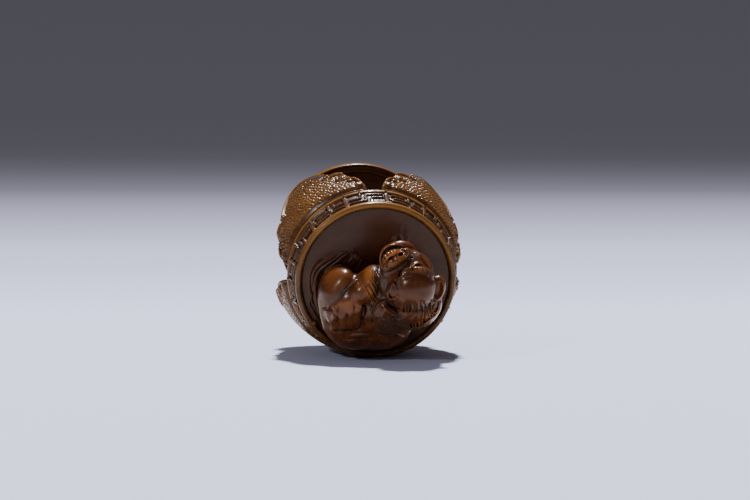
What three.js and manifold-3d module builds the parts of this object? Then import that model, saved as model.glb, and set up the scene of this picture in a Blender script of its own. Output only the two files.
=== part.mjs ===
// A carved boxwood netsuke: a lion-dog (shishi) lying curled on the round top of a
// footed drum pedestal. The whole carving is one solid of one piece of wood.
//
// Modelled upright in its own frame (millimetres): Z runs along the axis of the
// drum, z = 0 is the top of the rim bead, the figure is at z > 0 and the foot at
// z = -FOOT_Z. X is across the disc, Y is up the disc as the animal is seen.
// At the end the carving is laid on its side, as it lies on a table: resting on
// the rim bead and on the two lowest curls of the cloth flaps.
import * as THREE from 'three';
import { mergeVertices } from 'three/addons/utils/BufferGeometryUtils.js';
import Module from 'manifold-3d';

// ---- driving dimensions, mm and degrees ------------------------------------
const RIM_R = 13.0;            // outer radius of the rim bead round the top disc
const RIM_W = 1.05;            // width of the bead
const DISC_DEPTH = 0.55;       // the disc lies this far below the bead
const DISC_R = RIM_R - RIM_W;

const BAND_FRONT = 1.05;       // the fret band: a shallow channel on a cone
const BAND_BACK = 4.25;
const BAND_DEPTH = 0.35;
const BAND_SLOPE = 0.19;       // growth of the radius per mm along the axis
const RING_Z = 5.0;            // raised ring behind the band
const RING_R = 13.97;

const FLAPS = 4;               // cloth flaps hanging round the drum
const FLAP_START = 5.45;
const FLAP_GAP = 4.65;         // half of the slit between two flaps, degrees
const CURL_A = 12.8;           // the free edge climbs from the slit to the tip in the
const CURL_END = 9.6;          // middle of the flap in three scallops: a curl, a lobe
const CURL_ROUND = 2.0;        // and a tongue. For each: the angle from the slit and the
const LOBE_A = 23.8;           // distance it reaches, and how full its curve is
const LOBE_END = 13.0;
const LOBE_ROUND = 3.5;
const TONGUE_END = 19.8;
const TONGUE_ROUND = 1.9;
const FLAP_T = 2.0;            // thickness of the flap at its free edge
const LIP_H = 0.2;             // height of the raised lip along the edge
const LIP_W = 1.0;

const WAIST_R = 8.7;           // slim waist under the flaps
const WAIST_Z = 24.4;
const FOOT_FACE = 27.75;       // front face of the foot flange
const FOOT_R = 13.55;
const FOOT_LINE_R = 12.55;     // raised line on the flange
const FOOT_Z = 29.6;           // flat base
const FOOT_EDGE = 0.3;         // rounding of the flange edge

const CORD_HOLE_R = 1.45;      // cord channel through the base
const CORD_HOLE_GAP = 4.1;     // hole centres, from the axis
const CORD_HOLE_DEPTH = 4.6;

// angles of the slices in half a flap, from its middle out to the slit: closer
// together at the steps between the scallops
const SLICES = [0, 7, 13, 18, 20.8, 21.8, 26.5, 31.8, 32.6, 36, 39.5, 41.2, 45];
const LIE = 13.0;              // tilt of the axis, figure end down
const FLAT_DEPTH = 0.1;        // the rim bead is worn flat by this where it lies;
                               // the curls behind it are worn to the same plane

const WOOD = { color: 0x6b3a1c, roughness: 0.38, metalness: 0.0 };

// ---- profiles ---------------------------------------------------------------
const rad = THREE.MathUtils.degToRad;
const mix = THREE.MathUtils.lerp;

// smooth curve through [position, value] pairs
function along(table, x) {
  if (x <= table[0][0]) return table[0][1];
  for (let i = 1; i < table.length; i++) {
    const [x0, y0] = table[i - 1], [x1, y1] = table[i];
    if (x <= x1) {
      const t = (x - x0) / (x1 - x0);
      return mix(y0, y1, t);
    }
  }
  return table[table.length - 1][1];
}

// outer face of the flaps: radius by distance along the axis
const FLAP_FACE = [[FLAP_START, 13.85], [6.6, 14.5], [8.0, 14.95], [10, 15.35], [13, 15.9], [17, 16.1], [TONGUE_END, 15.95]];
// core of the pedestal under the flaps, down to the waist
const CORE = [[FLAP_START, 13.3], [7.5, 12.6], [10, 11.8], [14, 10.7], [18, 9.8], [WAIST_Z, WAIST_R]];

// free edge of the flaps by angle from the middle of a flap
function flapEnd(a) {
  const x = 180 / FLAPS - Math.abs(a);        // from the slit
  const climb = (x0, z0, x1, z1, round) => mix(z0, z1, 1 - (1 - (x - x0) / (x1 - x0)) ** round);
  if (x <= FLAP_GAP) return FLAP_START + 0.35;
  if (x <= CURL_A) return climb(FLAP_GAP, FLAP_START + 0.35, CURL_A, CURL_END, CURL_ROUND);
  if (x <= LOBE_A) return climb(CURL_A, CURL_END, LOBE_A, LOBE_END, LOBE_ROUND);
  return climb(LOBE_A, LOBE_END, 180 / FLAPS, TONGUE_END, TONGUE_ROUND);
}

// one slice of the pedestal at an angle: [radius, distance below the rim] pairs
function slice(deg) {
  const step = 360 / FLAPS;
  const a = ((deg % step) + step) % step - step / 2;
  const end = flapEnd(a);
  const cone = (z) => RIM_R + BAND_SLOPE * z;
  const p = [];
  p.push([0, DISC_DEPTH]);
  p.push([DISC_R - 0.1, DISC_DEPTH]);
  p.push([DISC_R + 0.08, 0.12]);
  p.push([DISC_R + 0.5, 0.0]);
  p.push([RIM_R, 0.28]);
  p.push([RIM_R + 0.02, 0.85]);
  p.push([cone(BAND_FRONT) - BAND_DEPTH, BAND_FRONT]);
  p.push([cone(BAND_BACK) - BAND_DEPTH, BAND_BACK]);
  p.push([RING_R - 0.14, RING_Z - 0.5]);
  p.push([RING_R, RING_Z]);
  p.push([along(FLAP_FACE, FLAP_START), FLAP_START]);
  // outer face of the flap, with a lip along the free edge
  const len = end - FLAP_START;
  const lip = Math.min(LIP_W, len * 0.4), rise = LIP_H * Math.min(1, len / 3);
  for (const t of [0.4]) {
    const z = FLAP_START + (len - lip) * t;
    p.push([along(FLAP_FACE, z), z]);
  }
  p.push([along(FLAP_FACE, end - lip), end - lip]);
  p.push([along(FLAP_FACE, end - lip * 0.7) + rise, end - lip * 0.7]);
  p.push([along(FLAP_FACE, end - lip * 0.15) + rise * 0.8, end - lip * 0.15]);
  // free edge and the underside, back to the core
  const thick = Math.min(FLAP_T, 0.25 + len * 0.35);
  p.push([Math.max(along(FLAP_FACE, end) - thick, along(CORE, end) + 0.05), end]);
  const root = FLAP_START + 0.4 + len * 0.55;
  p.push([along(CORE, root), Math.min(root, end - 0.02 - len * 0.01)]);
  for (const t of [0.5, 1]) {
    const z = mix(Math.max(root, FLAP_START + 1), WAIST_Z, t);
    p.push([along(CORE, z), z]);
  }
  // foot flange
  p.push([WAIST_R + 0.7, FOOT_FACE - 0.5]);
  p.push([FOOT_LINE_R - 0.15, FOOT_FACE]);
  p.push([FOOT_LINE_R + 0.05, FOOT_FACE - 0.25]);
  p.push([FOOT_LINE_R + 0.3, FOOT_FACE + 0.05]);
  p.push([FOOT_R - 0.3, FOOT_FACE - 0.15]);
  p.push([FOOT_R, FOOT_FACE + 0.25]);
  p.push([FOOT_R, FOOT_Z - FOOT_EDGE]);
  p.push([FOOT_R - FOOT_EDGE, FOOT_Z]);
  p.push([0, FOOT_Z]);
  return p;
}

// all slice angles round the drum
function sliceAngles() {
  const step = 360 / FLAPS, out = [];
  for (let f = 0; f < FLAPS; f++) {
    const middle = step / 2 + f * step;
    for (const a of [...SLICES].reverse()) out.push(middle - a);
    for (const a of SLICES.slice(1, -1)) out.push(middle + a);
  }
  return out;
}

// lathe the middle slice, then move every point to the slice of its own angle
function pedestal() {
  const angles = sliceAngles(), around = angles.length;
  const base = slice(45);
  const g = new THREE.LatheGeometry(base.map(([r, z]) => new THREE.Vector2(r, -z)), around);
  const pos = g.attributes.position, rows = base.length;
  for (let i = 0; i <= around; i++) {
    const deg = angles[i % around];
    const s = slice(deg);
    for (let j = 0; j < rows; j++) {
      const [r, z] = s[j];
      pos.setXYZ(i * rows + j, r * Math.sin(rad(deg)), -z, r * Math.cos(rad(deg)));
    }
  }
  g.rotateX(Math.PI / 2);     // axis of the lathe (Y) to Z
  return g;
}

// ---- the animal -------------------------------------------------------------
// masses of the lion-dog: centre x, y, height above the disc; half sizes; turn
// about the axis of the drum, degrees; facets round it
const MASSES = {
  torso:    { at: [-1.6, -4.7, 2.2], size: [7.4, 5.9, 5.2], turn: 0, n: 16 },
  rump:     { at: [-4.2, -6.1, 3.2], size: [4.3, 3.9, 3.9], turn: -20, n: 12 },
  belly:    { at: [1.0, -6.0, 3.1], size: [4.7, 4.2, 3.9], turn: 15, n: 14 },
  haunch:   { at: [-6.65, -0.3, 4.0], size: [3.05, 4.1, 4.3], turn: -12, n: 16 },
  arm:      { at: [-5.0, -1.4, 6.0], size: [2.7, 3.3, 3.2], turn: -30, n: 12 },
  paw:      { at: [-5.8, -3.3, 6.0], size: [3.0, 2.7, 2.6], turn: 0, n: 12 },
  shoulder: { at: [-3.2, 0.5, 6.4], size: [2.4, 2.6, 3.6], turn: -35, n: 12 },
  ridge:    { at: [-1.9, 1.8, 6.9], size: [1.9, 2.9, 2.8], turn: -25, n: 10 },
  chest:    { at: [0.4, -2.2, 6.0], size: [4.6, 4.2, 3.8], turn: 0, n: 12 },
  neck:     { at: [2.2, 1.2, 5.0], size: [3.6, 4.2, 5.6], turn: 0, n: 12 },
  skull:    { at: [4.0, 2.3, 11.0], size: [4.0, 3.8, 4.3], turn: 36, n: 16 },
  cheeks:   { at: [3.3, 3.5, 9.6], size: [4.5, 3.8, 3.2], turn: 36, n: 14 },
  muzzle:   { at: [1.5, 6.4, 11.0], size: [2.6, 1.6, 1.5], turn: 36, n: 12 },
  jaw:      { at: [2.4, 5.9, 8.0], size: [3.3, 3.1, 1.6], turn: 36, n: 12 },
  browR:    { at: [4.5, 5.6, 13.0], size: [2.4, 0.9, 1.0], turn: -3, n: 8 },
  browL:    { at: [0.8, 2.6, 12.9], size: [0.9, 1.7, 1.0], turn: -10, n: 8 },
  noseR:    { at: [2.1, 7.5, 12.0], size: [0.9, 0.8, 0.7], turn: 36, n: 8 },
  noseL:    { at: [0.4, 6.3, 11.9], size: [0.9, 0.8, 0.7], turn: 36, n: 8 },
  earR:     { at: [8.3, 1.7, 10.6], size: [1.0, 2.0, 1.4], turn: -10, n: 8 },
  earL:     { at: [1.05, -1.85, 10.4], size: [1.5, 0.8, 1.0], turn: -27, n: 8 },
  mane:     { at: [5.0, -1.5, 7.6], size: [4.5, 4.0, 4.4], turn: 20, n: 16 },
  manelow:  { at: [3.4, -2.6, 4.8], size: [4.8, 3.7, 4.4], turn: 10, n: 14 },
  manelft:  { at: [0.1, -2.0, 7.7], size: [2.1, 3.0, 3.2], turn: 0, n: 10 },
};
// the open mouth is cut out between the muzzle and the jaw
const MOUTH = { at: [1.2, 7.1, 9.55], size: [2.6, 2.0, 0.5], turn: 36, n: 10 };
// toes of the forepaw: middle of the first, step to the next, half sizes
const TOES = 4;
const TOE = { at: [-7.65, -3.5, 7.7], step: [1.22, 0.12, 0.05], size: [0.68, 2.1, 1.35], n: 8 };
// bushy tail lying on the disc, round the haunch
const TAIL = { path: [[-4.6, 5.4], [-7.3, 4.3], [-9.7, 2.0], [-10.7, -1.2], [-10.3, -4.6], [-8.6, -7.4]], half: 0.8, height: 0.45 };

function blob({ at, size, turn, n }) {
  const g = new THREE.SphereGeometry(1, n, Math.max(6, Math.round(n * 0.62)));
  g.rotateX(Math.PI / 2);
  g.scale(size[0], size[1], size[2]);
  g.rotateZ(rad(turn));
  g.translate(at[0], at[1], at[2]);
  return g;
}

// a strip with a rounded section along a flat curve on the disc
function strip({ path, half, height }) {
  const curve = new THREE.CatmullRomCurve3(path.map(([x, y]) => new THREE.Vector3(x, y, 0)));
  const section = new THREE.Shape();
  const steps = 8;
  for (let i = 0; i < steps; i++) {
    const a = (i / steps) * Math.PI * 2;
    const q = [Math.cos(a) * height, Math.sin(a) * half];
    if (i === 0) section.moveTo(...q); else section.lineTo(...q);
  }
  section.closePath();
  return new THREE.ExtrudeGeometry(section, { steps: 10, extrudePath: curve, bevelEnabled: false, curveSegments: 1 });
}

// cord channel: a tube bent down from the base and back
function cordChannel() {
  const z = -FOOT_Z;
  const curve = new THREE.CubicBezierCurve3(
    new THREE.Vector3(-CORD_HOLE_GAP, 0, z - 1), new THREE.Vector3(-CORD_HOLE_GAP * 0.9, 0, z + CORD_HOLE_DEPTH * 1.5),
    new THREE.Vector3(CORD_HOLE_GAP * 0.9, 0, z + CORD_HOLE_DEPTH * 1.5), new THREE.Vector3(CORD_HOLE_GAP, 0, z - 1));
  const section = new THREE.Shape();
  section.absarc(0, 0, CORD_HOLE_R, 0, Math.PI * 2, false);
  return new THREE.ExtrudeGeometry(section, { steps: 12, extrudePath: curve, bevelEnabled: false, curveSegments: 12 });
}

// ---- joining ----------------------------------------------------------------
const wasm = await Module();
wasm.setup();

function solid(geometry) {
  const g = geometry.clone();
  g.deleteAttribute('normal');
  if (g.attributes.uv) g.deleteAttribute('uv');
  const m = mergeVertices(g, 1e-4);
  const v = m.attributes.position.array, idx = m.index.array;
  const tri = [];
  for (let i = 0; i < idx.length; i += 3) {
    const [a, b, c] = [idx[i], idx[i + 1], idx[i + 2]];
    if (a !== b && b !== c && a !== c) tri.push(a, b, c);
  }
  let vol = 0;
  const P = (i) => new THREE.Vector3(v[3 * i], v[3 * i + 1], v[3 * i + 2]);
  for (let i = 0; i < tri.length; i += 3) vol += P(tri[i]).dot(P(tri[i + 1]).cross(P(tri[i + 2]))) / 6;
  if (vol < 0) for (let i = 0; i < tri.length; i += 3) [tri[i + 1], tri[i + 2]] = [tri[i + 2], tri[i + 1]];
  return new wasm.Manifold(new wasm.Mesh({ numProp: 3, vertProperties: new Float32Array(v), triVerts: new Uint32Array(tri) }));
}

let carving = solid(pedestal());
let animal = null;
const add = (g) => { const s = solid(g); animal = animal ? animal.add(s) : s; };
for (const m of Object.values(MASSES)) add(blob(m));
for (let i = 0; i < TOES; i++) {
  const at = TOE.at.map((c, k) => c + TOE.step[k] * i);
  add(blob({ at, size: TOE.size, turn: 0, n: TOE.n }));
}
animal = animal.subtract(solid(blob(MOUTH)));
const tail = strip(TAIL);
tail.translate(0, 0, -DISC_DEPTH);
animal = animal.add(solid(tail));

// keep only what is above the disc, so nothing of the animal shows below
const keep = new THREE.BoxGeometry(40, 40, 40);
keep.translate(0, 0, 20 - DISC_DEPTH - 0.3);
animal = animal.intersect(solid(keep));
carving = carving.add(animal);
carving = carving.subtract(solid(cordChannel()));

// ---- lay it on its side -------------------------------------------------------
function toGeometry(man) {
  const mesh = man.getMesh();
  const g = new THREE.BufferGeometry();
  g.setAttribute('position', new THREE.BufferAttribute(new Float32Array(mesh.vertProperties), 3));
  g.setIndex(new THREE.BufferAttribute(new Uint32Array(mesh.triVerts), 1));
  return g;
}
let laid = toGeometry(carving);
laid.rotateX(rad(90 + LIE));
const rimLow = new THREE.Vector3(0, -RIM_R, -0.28).applyAxisAngle(new THREE.Vector3(1, 0, 0), rad(90 + LIE)).z;
const table = new THREE.BoxGeometry(80, 120, 20);
table.translate(0, 0, rimLow + FLAT_DEPTH - 10);
laid = toGeometry(solid(laid).subtract(solid(table)));
laid.computeBoundingBox();
const box = laid.boundingBox;
laid.translate(-(box.min.x + box.max.x) / 2, -(box.min.y + box.max.y) / 2, -box.min.z);
laid.computeVertexNormals();

const netsuke = new THREE.Mesh(laid, new THREE.MeshStandardMaterial(WOOD));
netsuke.name = 'netsuke';

const group = new THREE.Group();
group.name = 'netsuke_part';
group.add(netsuke);

export default group;
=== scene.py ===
import math
import time

import bpy
import numpy as np
from mathutils import Matrix, Vector


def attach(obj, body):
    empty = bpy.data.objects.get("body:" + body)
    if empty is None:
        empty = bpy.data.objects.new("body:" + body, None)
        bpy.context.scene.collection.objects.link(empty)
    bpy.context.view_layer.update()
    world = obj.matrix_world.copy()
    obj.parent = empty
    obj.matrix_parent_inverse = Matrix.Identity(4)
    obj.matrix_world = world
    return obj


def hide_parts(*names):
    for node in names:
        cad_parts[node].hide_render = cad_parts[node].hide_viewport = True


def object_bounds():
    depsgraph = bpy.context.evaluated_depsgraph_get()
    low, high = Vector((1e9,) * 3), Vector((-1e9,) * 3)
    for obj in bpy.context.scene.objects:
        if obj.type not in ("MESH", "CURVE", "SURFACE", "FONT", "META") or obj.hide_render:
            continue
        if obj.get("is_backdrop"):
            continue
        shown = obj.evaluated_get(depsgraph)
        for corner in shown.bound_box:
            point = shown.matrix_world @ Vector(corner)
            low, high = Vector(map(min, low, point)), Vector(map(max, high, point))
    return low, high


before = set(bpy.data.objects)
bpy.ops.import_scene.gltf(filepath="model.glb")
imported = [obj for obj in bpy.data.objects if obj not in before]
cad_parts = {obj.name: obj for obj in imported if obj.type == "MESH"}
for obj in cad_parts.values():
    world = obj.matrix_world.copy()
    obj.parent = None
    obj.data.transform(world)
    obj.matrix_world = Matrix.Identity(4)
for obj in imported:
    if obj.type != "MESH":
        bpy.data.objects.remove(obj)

T0 = time.time()
start_lo, start_hi = [list(v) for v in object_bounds()]


def say(*words):
    print("[netsuke %.1fs]" % (time.time() - T0), *words, flush=True)


# =============================================================================
# The carving is sculpted as a distance field in its own upright frame, in mm:
# x across the top disc, y up the disc, z along the axis, rim bead at z = 0,
# animal at z > 0, foot base at z = -FOOT_Z. The same named sizes as the CAD.
# =============================================================================
RIM_R = 13.0
DISC_DEPTH = 0.55
BAND_FRONT, BAND_BACK, BAND_DEPTH, BAND_SLOPE = 1.05, 4.25, 0.35, 0.19
RING_Z, RING_R = 5.0, 13.97
FLAP_START, FLAP_GAP = 5.45, 4.65
CURL_A, CURL_END, CURL_ROUND = 12.8, 9.6, 2.0
LOBE_A, LOBE_END, LOBE_ROUND = 23.8, 13.0, 3.5
TONGUE_END, TONGUE_ROUND = 19.8, 1.9
FLAP_T = 2.0
WAIST_R, WAIST_Z = 8.7, 24.4
FOOT_FACE, FOOT_R, FOOT_LINE_R, FOOT_Z = 27.75, 13.55, 12.55, 29.6
CORD_R, CORD_GAP, CORD_DEPTH = 1.45, 4.1, 4.6
LIE = 13.0
FLAT_DEPTH = 0.1
FLAP_FACE = [(5.2, 13.45), (5.7, 13.9), (6.6, 14.5), (8.0, 14.95), (10, 15.35), (13, 15.9), (17, 16.1), (TONGUE_END, 15.95), (22, 15.7)]
CORE = [(FLAP_START, 13.3), (7.5, 12.6), (10, 11.8), (14, 10.7), (18, 9.8), (WAIST_Z, WAIST_R)]

lie = math.radians(90 + LIE)
SIN, COS = math.sin(lie), math.cos(lie)
RIM_LOW = -RIM_R * SIN - 0.28 * COS
SHIFT_Z = -(RIM_LOW + FLAT_DEPTH)                      # table plane at z = 0
SHIFT_Y = start_hi[1] * 1000 - ((FOOT_R - 0.3) * -COS + FOOT_Z * SIN)
SHIFT = np.array([0.0, SHIFT_Y, SHIFT_Z], np.float32)


def to_world(p):
    """Upright frame (mm) to the row frame (m)."""
    q = np.empty_like(p)
    q[:, 0] = p[:, 0]
    q[:, 1] = p[:, 1] * COS - p[:, 2] * SIN
    q[:, 2] = p[:, 1] * SIN + p[:, 2] * COS
    return (q + SHIFT) / 1000.0


# ---- small tools --------------------------------------------------------------
def smin(a, b, k):
    h = np.clip(0.5 + 0.5 * (b - a) / k, 0, 1)
    return b + (a - b) * h - k * h * (1 - h)


def smax(a, b, k):
    return -smin(-a, -b, k)


def step(e0, e1, x):
    t = np.clip((x - e0) / (e1 - e0), 0, 1)
    return t * t * (3 - 2 * t)


def bump(x, w):
    """Rounded ridge, 1 at x = 0, 0 beyond w."""
    t = np.clip(1 - (x / w) ** 2, 0, 1)
    return t * t


def curve1(table, x, soften=0.6):
    """Smoothed piecewise-linear lookup."""
    xs = np.arange(table[0][0] - 2, table[-1][0] + 2, 0.1)
    ys = np.interp(xs, [t[0] for t in table], [t[1] for t in table])
    n = max(1, int(soften / 0.1))
    k = np.ones(n) / n
    ys = np.convolve(np.pad(ys, n, mode="edge"), k, mode="same")[n:-n]
    return np.interp(x, xs, ys).astype(np.float32)


def seg_dist(px, py, pts):
    """Distance to a closed polygon in the plane, negative inside."""
    pts = np.asarray(pts, np.float32)
    a, b = pts, np.roll(pts, -1, 0)
    best = np.full(px.shape, 1e9, np.float32)
    inside = np.zeros(px.shape, bool)
    for (ax, ay), (bx, by) in zip(a, b):
        ex, ey = bx - ax, by - ay
        L = ex * ex + ey * ey
        if L < 1e-12:
            continue
        wx, wy = px - ax, py - ay
        t = np.clip((wx * ex + wy * ey) / L, 0, 1)
        dx, dy = wx - t * ex, wy - t * ey
        best = np.minimum(best, dx * dx + dy * dy)
        cross = ((ay <= py) != (by <= py))
        if ey != 0:
            inside ^= cross & (px < ax + (py - ay) / ey * ex)
    d = np.sqrt(best)
    return np.where(inside, -d, d)


class Table:
    """A function of two numbers, kept on a grid."""

    def __init__(self, fn, x0, x1, y0, y1, h):
        self.x0, self.y0, self.h = x0, y0, h
        xs = np.arange(x0, x1 + h, h, dtype=np.float32)
        ys = np.arange(y0, y1 + h, h, dtype=np.float32)
        X, Y = np.meshgrid(xs, ys, indexing="ij")
        self.v = fn(X, Y).astype(np.float32)

    def __call__(self, x, y):
        n, m = self.v.shape
        fx = np.clip((x - self.x0) / self.h, 0, n - 1.001)
        fy = np.clip((y - self.y0) / self.h, 0, m - 1.001)
        i, j = fx.astype(np.int32), fy.astype(np.int32)
        fx, fy = fx - i, fy - j
        v = self.v
        return (v[i, j] * (1 - fx) * (1 - fy) + v[i + 1, j] * fx * (1 - fy)
                + v[i, j + 1] * (1 - fx) * fy + v[i + 1, j + 1] * fx * fy)


def hash3(i, j, k, seed):
    n = (i.astype(np.uint32) * np.uint32(73856093)) ^ (j.astype(np.uint32) * np.uint32(19349663)) ^ (k.astype(np.uint32) * np.uint32(83492791)) ^ np.uint32(seed * 2654435761 % 4294967296)
    n = (n ^ (n >> np.uint32(13))) * np.uint32(1274126177)
    n = n ^ (n >> np.uint32(16))
    return (n & np.uint32(65535)).astype(np.float32) / 65535.0


def noise(P, scale, seed=1):
    """Smooth value noise, -1 to 1."""
    q = P / scale
    i = np.floor(q).astype(np.int32)
    f = (q - i).astype(np.float32)
    f = f * f * (3 - 2 * f)
    out = 0
    for a in (0, 1):
        wa = f[:, 0] if a else 1 - f[:, 0]
        for b in (0, 1):
            wb = f[:, 1] if b else 1 - f[:, 1]
            for c in (0, 1):
                wc = f[:, 2] if c else 1 - f[:, 2]
                out = out + wa * wb * wc * hash3(i[:, 0] + a, i[:, 1] + b, i[:, 2] + c, seed)
    return out * 2 - 1


# ---- the pedestal ---------------------------------------------------------------
def cone(s):
    return RIM_R + BAND_SLOPE * s


def arc(cx, cy, r, a0, a1, n):
    return [(cx + r * math.cos(math.radians(a0 + (a1 - a0) * i / n)), cy + r * math.sin(math.radians(a0 + (a1 - a0) * i / n))) for i in range(n + 1)]


core_profile = ([(0, DISC_DEPTH), (11.75, DISC_DEPTH), (11.93, DISC_DEPTH + 0.02)]
                + arc(12.46, 0.54, 0.54, 180, 360, 12)
                + [(13.02, 0.8), (12.96, 0.98), (cone(BAND_FRONT) - BAND_DEPTH, BAND_FRONT + 0.04), (cone(BAND_BACK) - BAND_DEPTH, BAND_BACK), (cone(BAND_BACK) - 0.2, BAND_BACK + 0.06)]
                + [(13.66, 4.40), (13.83, 4.5), (13.97, 4.75), (13.99, 5.0), (13.92, 5.2), (13.76, 5.32), (13.45, 5.42), (13.25, 5.6), (12.6, 7.5), (11.8, 10), (10.7, 14), (9.8, 18), (9.05, 21.5), (8.75, 24.0), (8.8, 25.4), (9.15, 26.5), (9.75, 27.3), (10.6, 27.68)]
                + [(12.0, 27.8), (12.1, 27.7), (12.18, 27.42), (12.32, 27.28), (12.48, 27.36), (12.58, 27.7), (12.75, 27.92), (13.1, 27.92)]
                + [(13.28, 27.66), (13.47, 27.8), (13.55, 28.1), (13.55, 29.2), (13.47, 29.48), (13.25, 29.6), (0, 29.6)])
# the profile is closed on the far side of the axis, so that the distance there is right
core_closed = core_profile + [(-1, 29.6), (-1, DISC_DEPTH)]
core_table = Table(lambda r, s: seg_dist(r, s, core_closed), -0.5, 16.5, -2.5, 31.5, 0.05)

ARC_R = 15.5
FLAP_FROM = 5.36
half_flap = 180.0 / 4


def flap_end(a):
    x = half_flap - abs(a)

    def climb(x0, z0, x1, z1, rnd):
        return z0 + (z1 - z0) * (1 - (1 - (x - x0) / (x1 - x0)) ** rnd)
    if x <= FLAP_GAP:
        return FLAP_START + 0.35
    if x <= CURL_A:
        return climb(FLAP_GAP, FLAP_START + 0.35, CURL_A, CURL_END, CURL_ROUND)
    if x <= LOBE_A:
        return climb(CURL_A, CURL_END, LOBE_A, LOBE_END, LOBE_ROUND)
    return climb(LOBE_A, LOBE_END, half_flap, TONGUE_END, TONGUE_ROUND)


edge_angle = half_flap - FLAP_GAP
outline = [(-2.0, FLAP_FROM), (-2.0, flap_end(0))]
for a in np.concatenate([np.linspace(0, half_flap - LOBE_A - 0.02, 30), half_flap - LOBE_A + 0.02 + (LOBE_A - CURL_A - 0.04) * np.linspace(0, 1, 22), half_flap - CURL_A + 0.02 + (CURL_A - FLAP_GAP - 0.02) * np.linspace(0, 1, 18)]):
    outline.append((math.radians(a) * ARC_R, flap_end(a)))
outline.append((math.radians(edge_angle) * ARC_R, FLAP_FROM))
flap_edge = Table(lambda u, s: seg_dist(u, s, outline), -0.3, 12.8, 3.5, 24.5, 0.05)

ends = np.array([flap_end(a) for a in np.arange(0, 45.01, 0.25)])
k9 = np.ones(9) / 9
ends_soft = np.convolve(np.pad(ends, 9, mode="edge"), k9, mode="same")[9:-9]


def spiral(u, s, cu, cs, r, turn, hand):
    """A carved curl: a dome with a spiral groove; returns relief in mm."""
    x, y = (u - cu) * hand, s - cs
    q = np.hypot(x, y)
    ang = np.arctan2(y, x)
    dome = 0.30 * np.clip(1 - (q / r) ** 2, 0, 1) ** 0.6
    line = (q / r * 1.5 + (ang - turn) / (2 * math.pi)) % 1.0
    groove = bump(line - 0.5, 0.24) * step(0.1 * r, 0.32 * r, q) * step(1.05 * r, 0.85 * r, q)
    ring = bump(q - r * 1.06, 0.2)
    return dome - 0.20 * groove - 0.14 * ring


def dots(seed, u0, u1, s0, s1, pitch):
    """Jittered punch marks; returns (n, 2) places."""
    rng = np.random.RandomState(seed)
    pts = []
    row = 0
    s = s0
    while s < s1:
        n = int((u1 - u0) / pitch)
        for i in range(n + 1):
            pts.append((u0 + (i + 0.5 * (row % 2)) * pitch + rng.uniform(-.24, .24) * pitch, s + rng.uniform(-.24, .24) * pitch, rng.uniform(0.6, 1.25)))
        s += pitch * 0.88
        row += 1
    return np.array(pts)


def stamp(X, Y, pts, radius, depth, rim, x0, y0, h, out, aspect=1.0):
    """Presses punch marks into a height map."""
    m = int(radius * 2.4 / h) + 1
    for (u, s, w) in pts:
        i, j = int((u - x0) / h), int((s - y0) / h)
        i0, i1, j0, j1 = max(0, i - m), min(X.shape[0], i + m), max(0, j - m), min(X.shape[1], j + m)
        if i0 >= i1 or j0 >= j1:
            continue
        q = np.hypot(X[i0:i1, j0:j1] - u, (Y[i0:i1, j0:j1] - s) * aspect) / (radius * (0.75 + 0.25 * w))
        out[i0:i1, j0:j1] += -depth * w * np.exp(-(q ** 2) * 1.4) + rim * np.exp(-((q - 1.25) / 0.38) ** 2)


CURLS = ((9.4, 7.0, 0.72, 0.0, 0), (18.6, 10.7, 1.12, 1.2, 1), (14.0, 8.7, 0.55, 2.0, 0), (27.2, 13.3, 0.8, 2.2, 1))   # degrees from the slit, distance, size, turn, wound or plain


def flap_relief(seed):
    def fn(u, s):
        e = -flap_edge(np.abs(u), s)                      # distance in from the free edge
        back = step(5.5, 6.6, s)                          # nothing near the ring
        h = 0.30 * bump(e - 0.26, 0.32) * back
        h -= 0.36 * bump(e - 0.72, 0.27) * back
        h += 0.07 * bump(e - 1.12, 0.25) * back
        curls = np.zeros_like(h)
        mask = np.zeros_like(h)
        for sgn in (-1, 1):
            for (x, cs, r, turn, wound) in CURLS:
                cu = math.radians(half_flap - x) * ARC_R * sgn
                q = np.hypot(u - cu, s - cs)
                if wound:
                    c = spiral(u, s, cu, cs, r, turn, -sgn)
                else:
                    c = 0.34 * np.clip(1 - (q / r) ** 2, 0, 1) ** 0.5 - 0.1 * bump(q - r * 1.12, 0.16)
                near = step(r * 1.28, r * 1.04, q)
                curls = curls * (1 - near) + c * near
                mask = np.maximum(mask, near)
        h = h * (1 - mask * 0.8) + curls
        field = np.zeros_like(h)
        stamp(u, s, dots(seed, -11.3, 11.3, 6.7, 20.0, 0.72), 0.20, 0.165, 0.04, -12.8, 4.0, 0.05, field, 0.85)
        h += (field + 0.05) * step(1.0, 1.3, e) * (1 - mask) * step(6.45, 6.8, s)
        # a plain border beside the ring with small ticks, edged by a shallow groove
        tick = bump(((u * 1.55) % 1.0) - 0.5, 0.2) * bump(s - 5.95, 0.22)
        h -= 0.10 * bump(s - 6.4, 0.2) + 0.05 * tick
        return h
    return Table(fn, -12.8, 12.8, 4.0, 23.5, 0.05)


relief_tables = [flap_relief(11 + i) for i in range(4)]


FRET_UNIT = 28.8               # degrees; twelve whole units and a half one underneath
FRET_PHASE = 7.0


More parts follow.
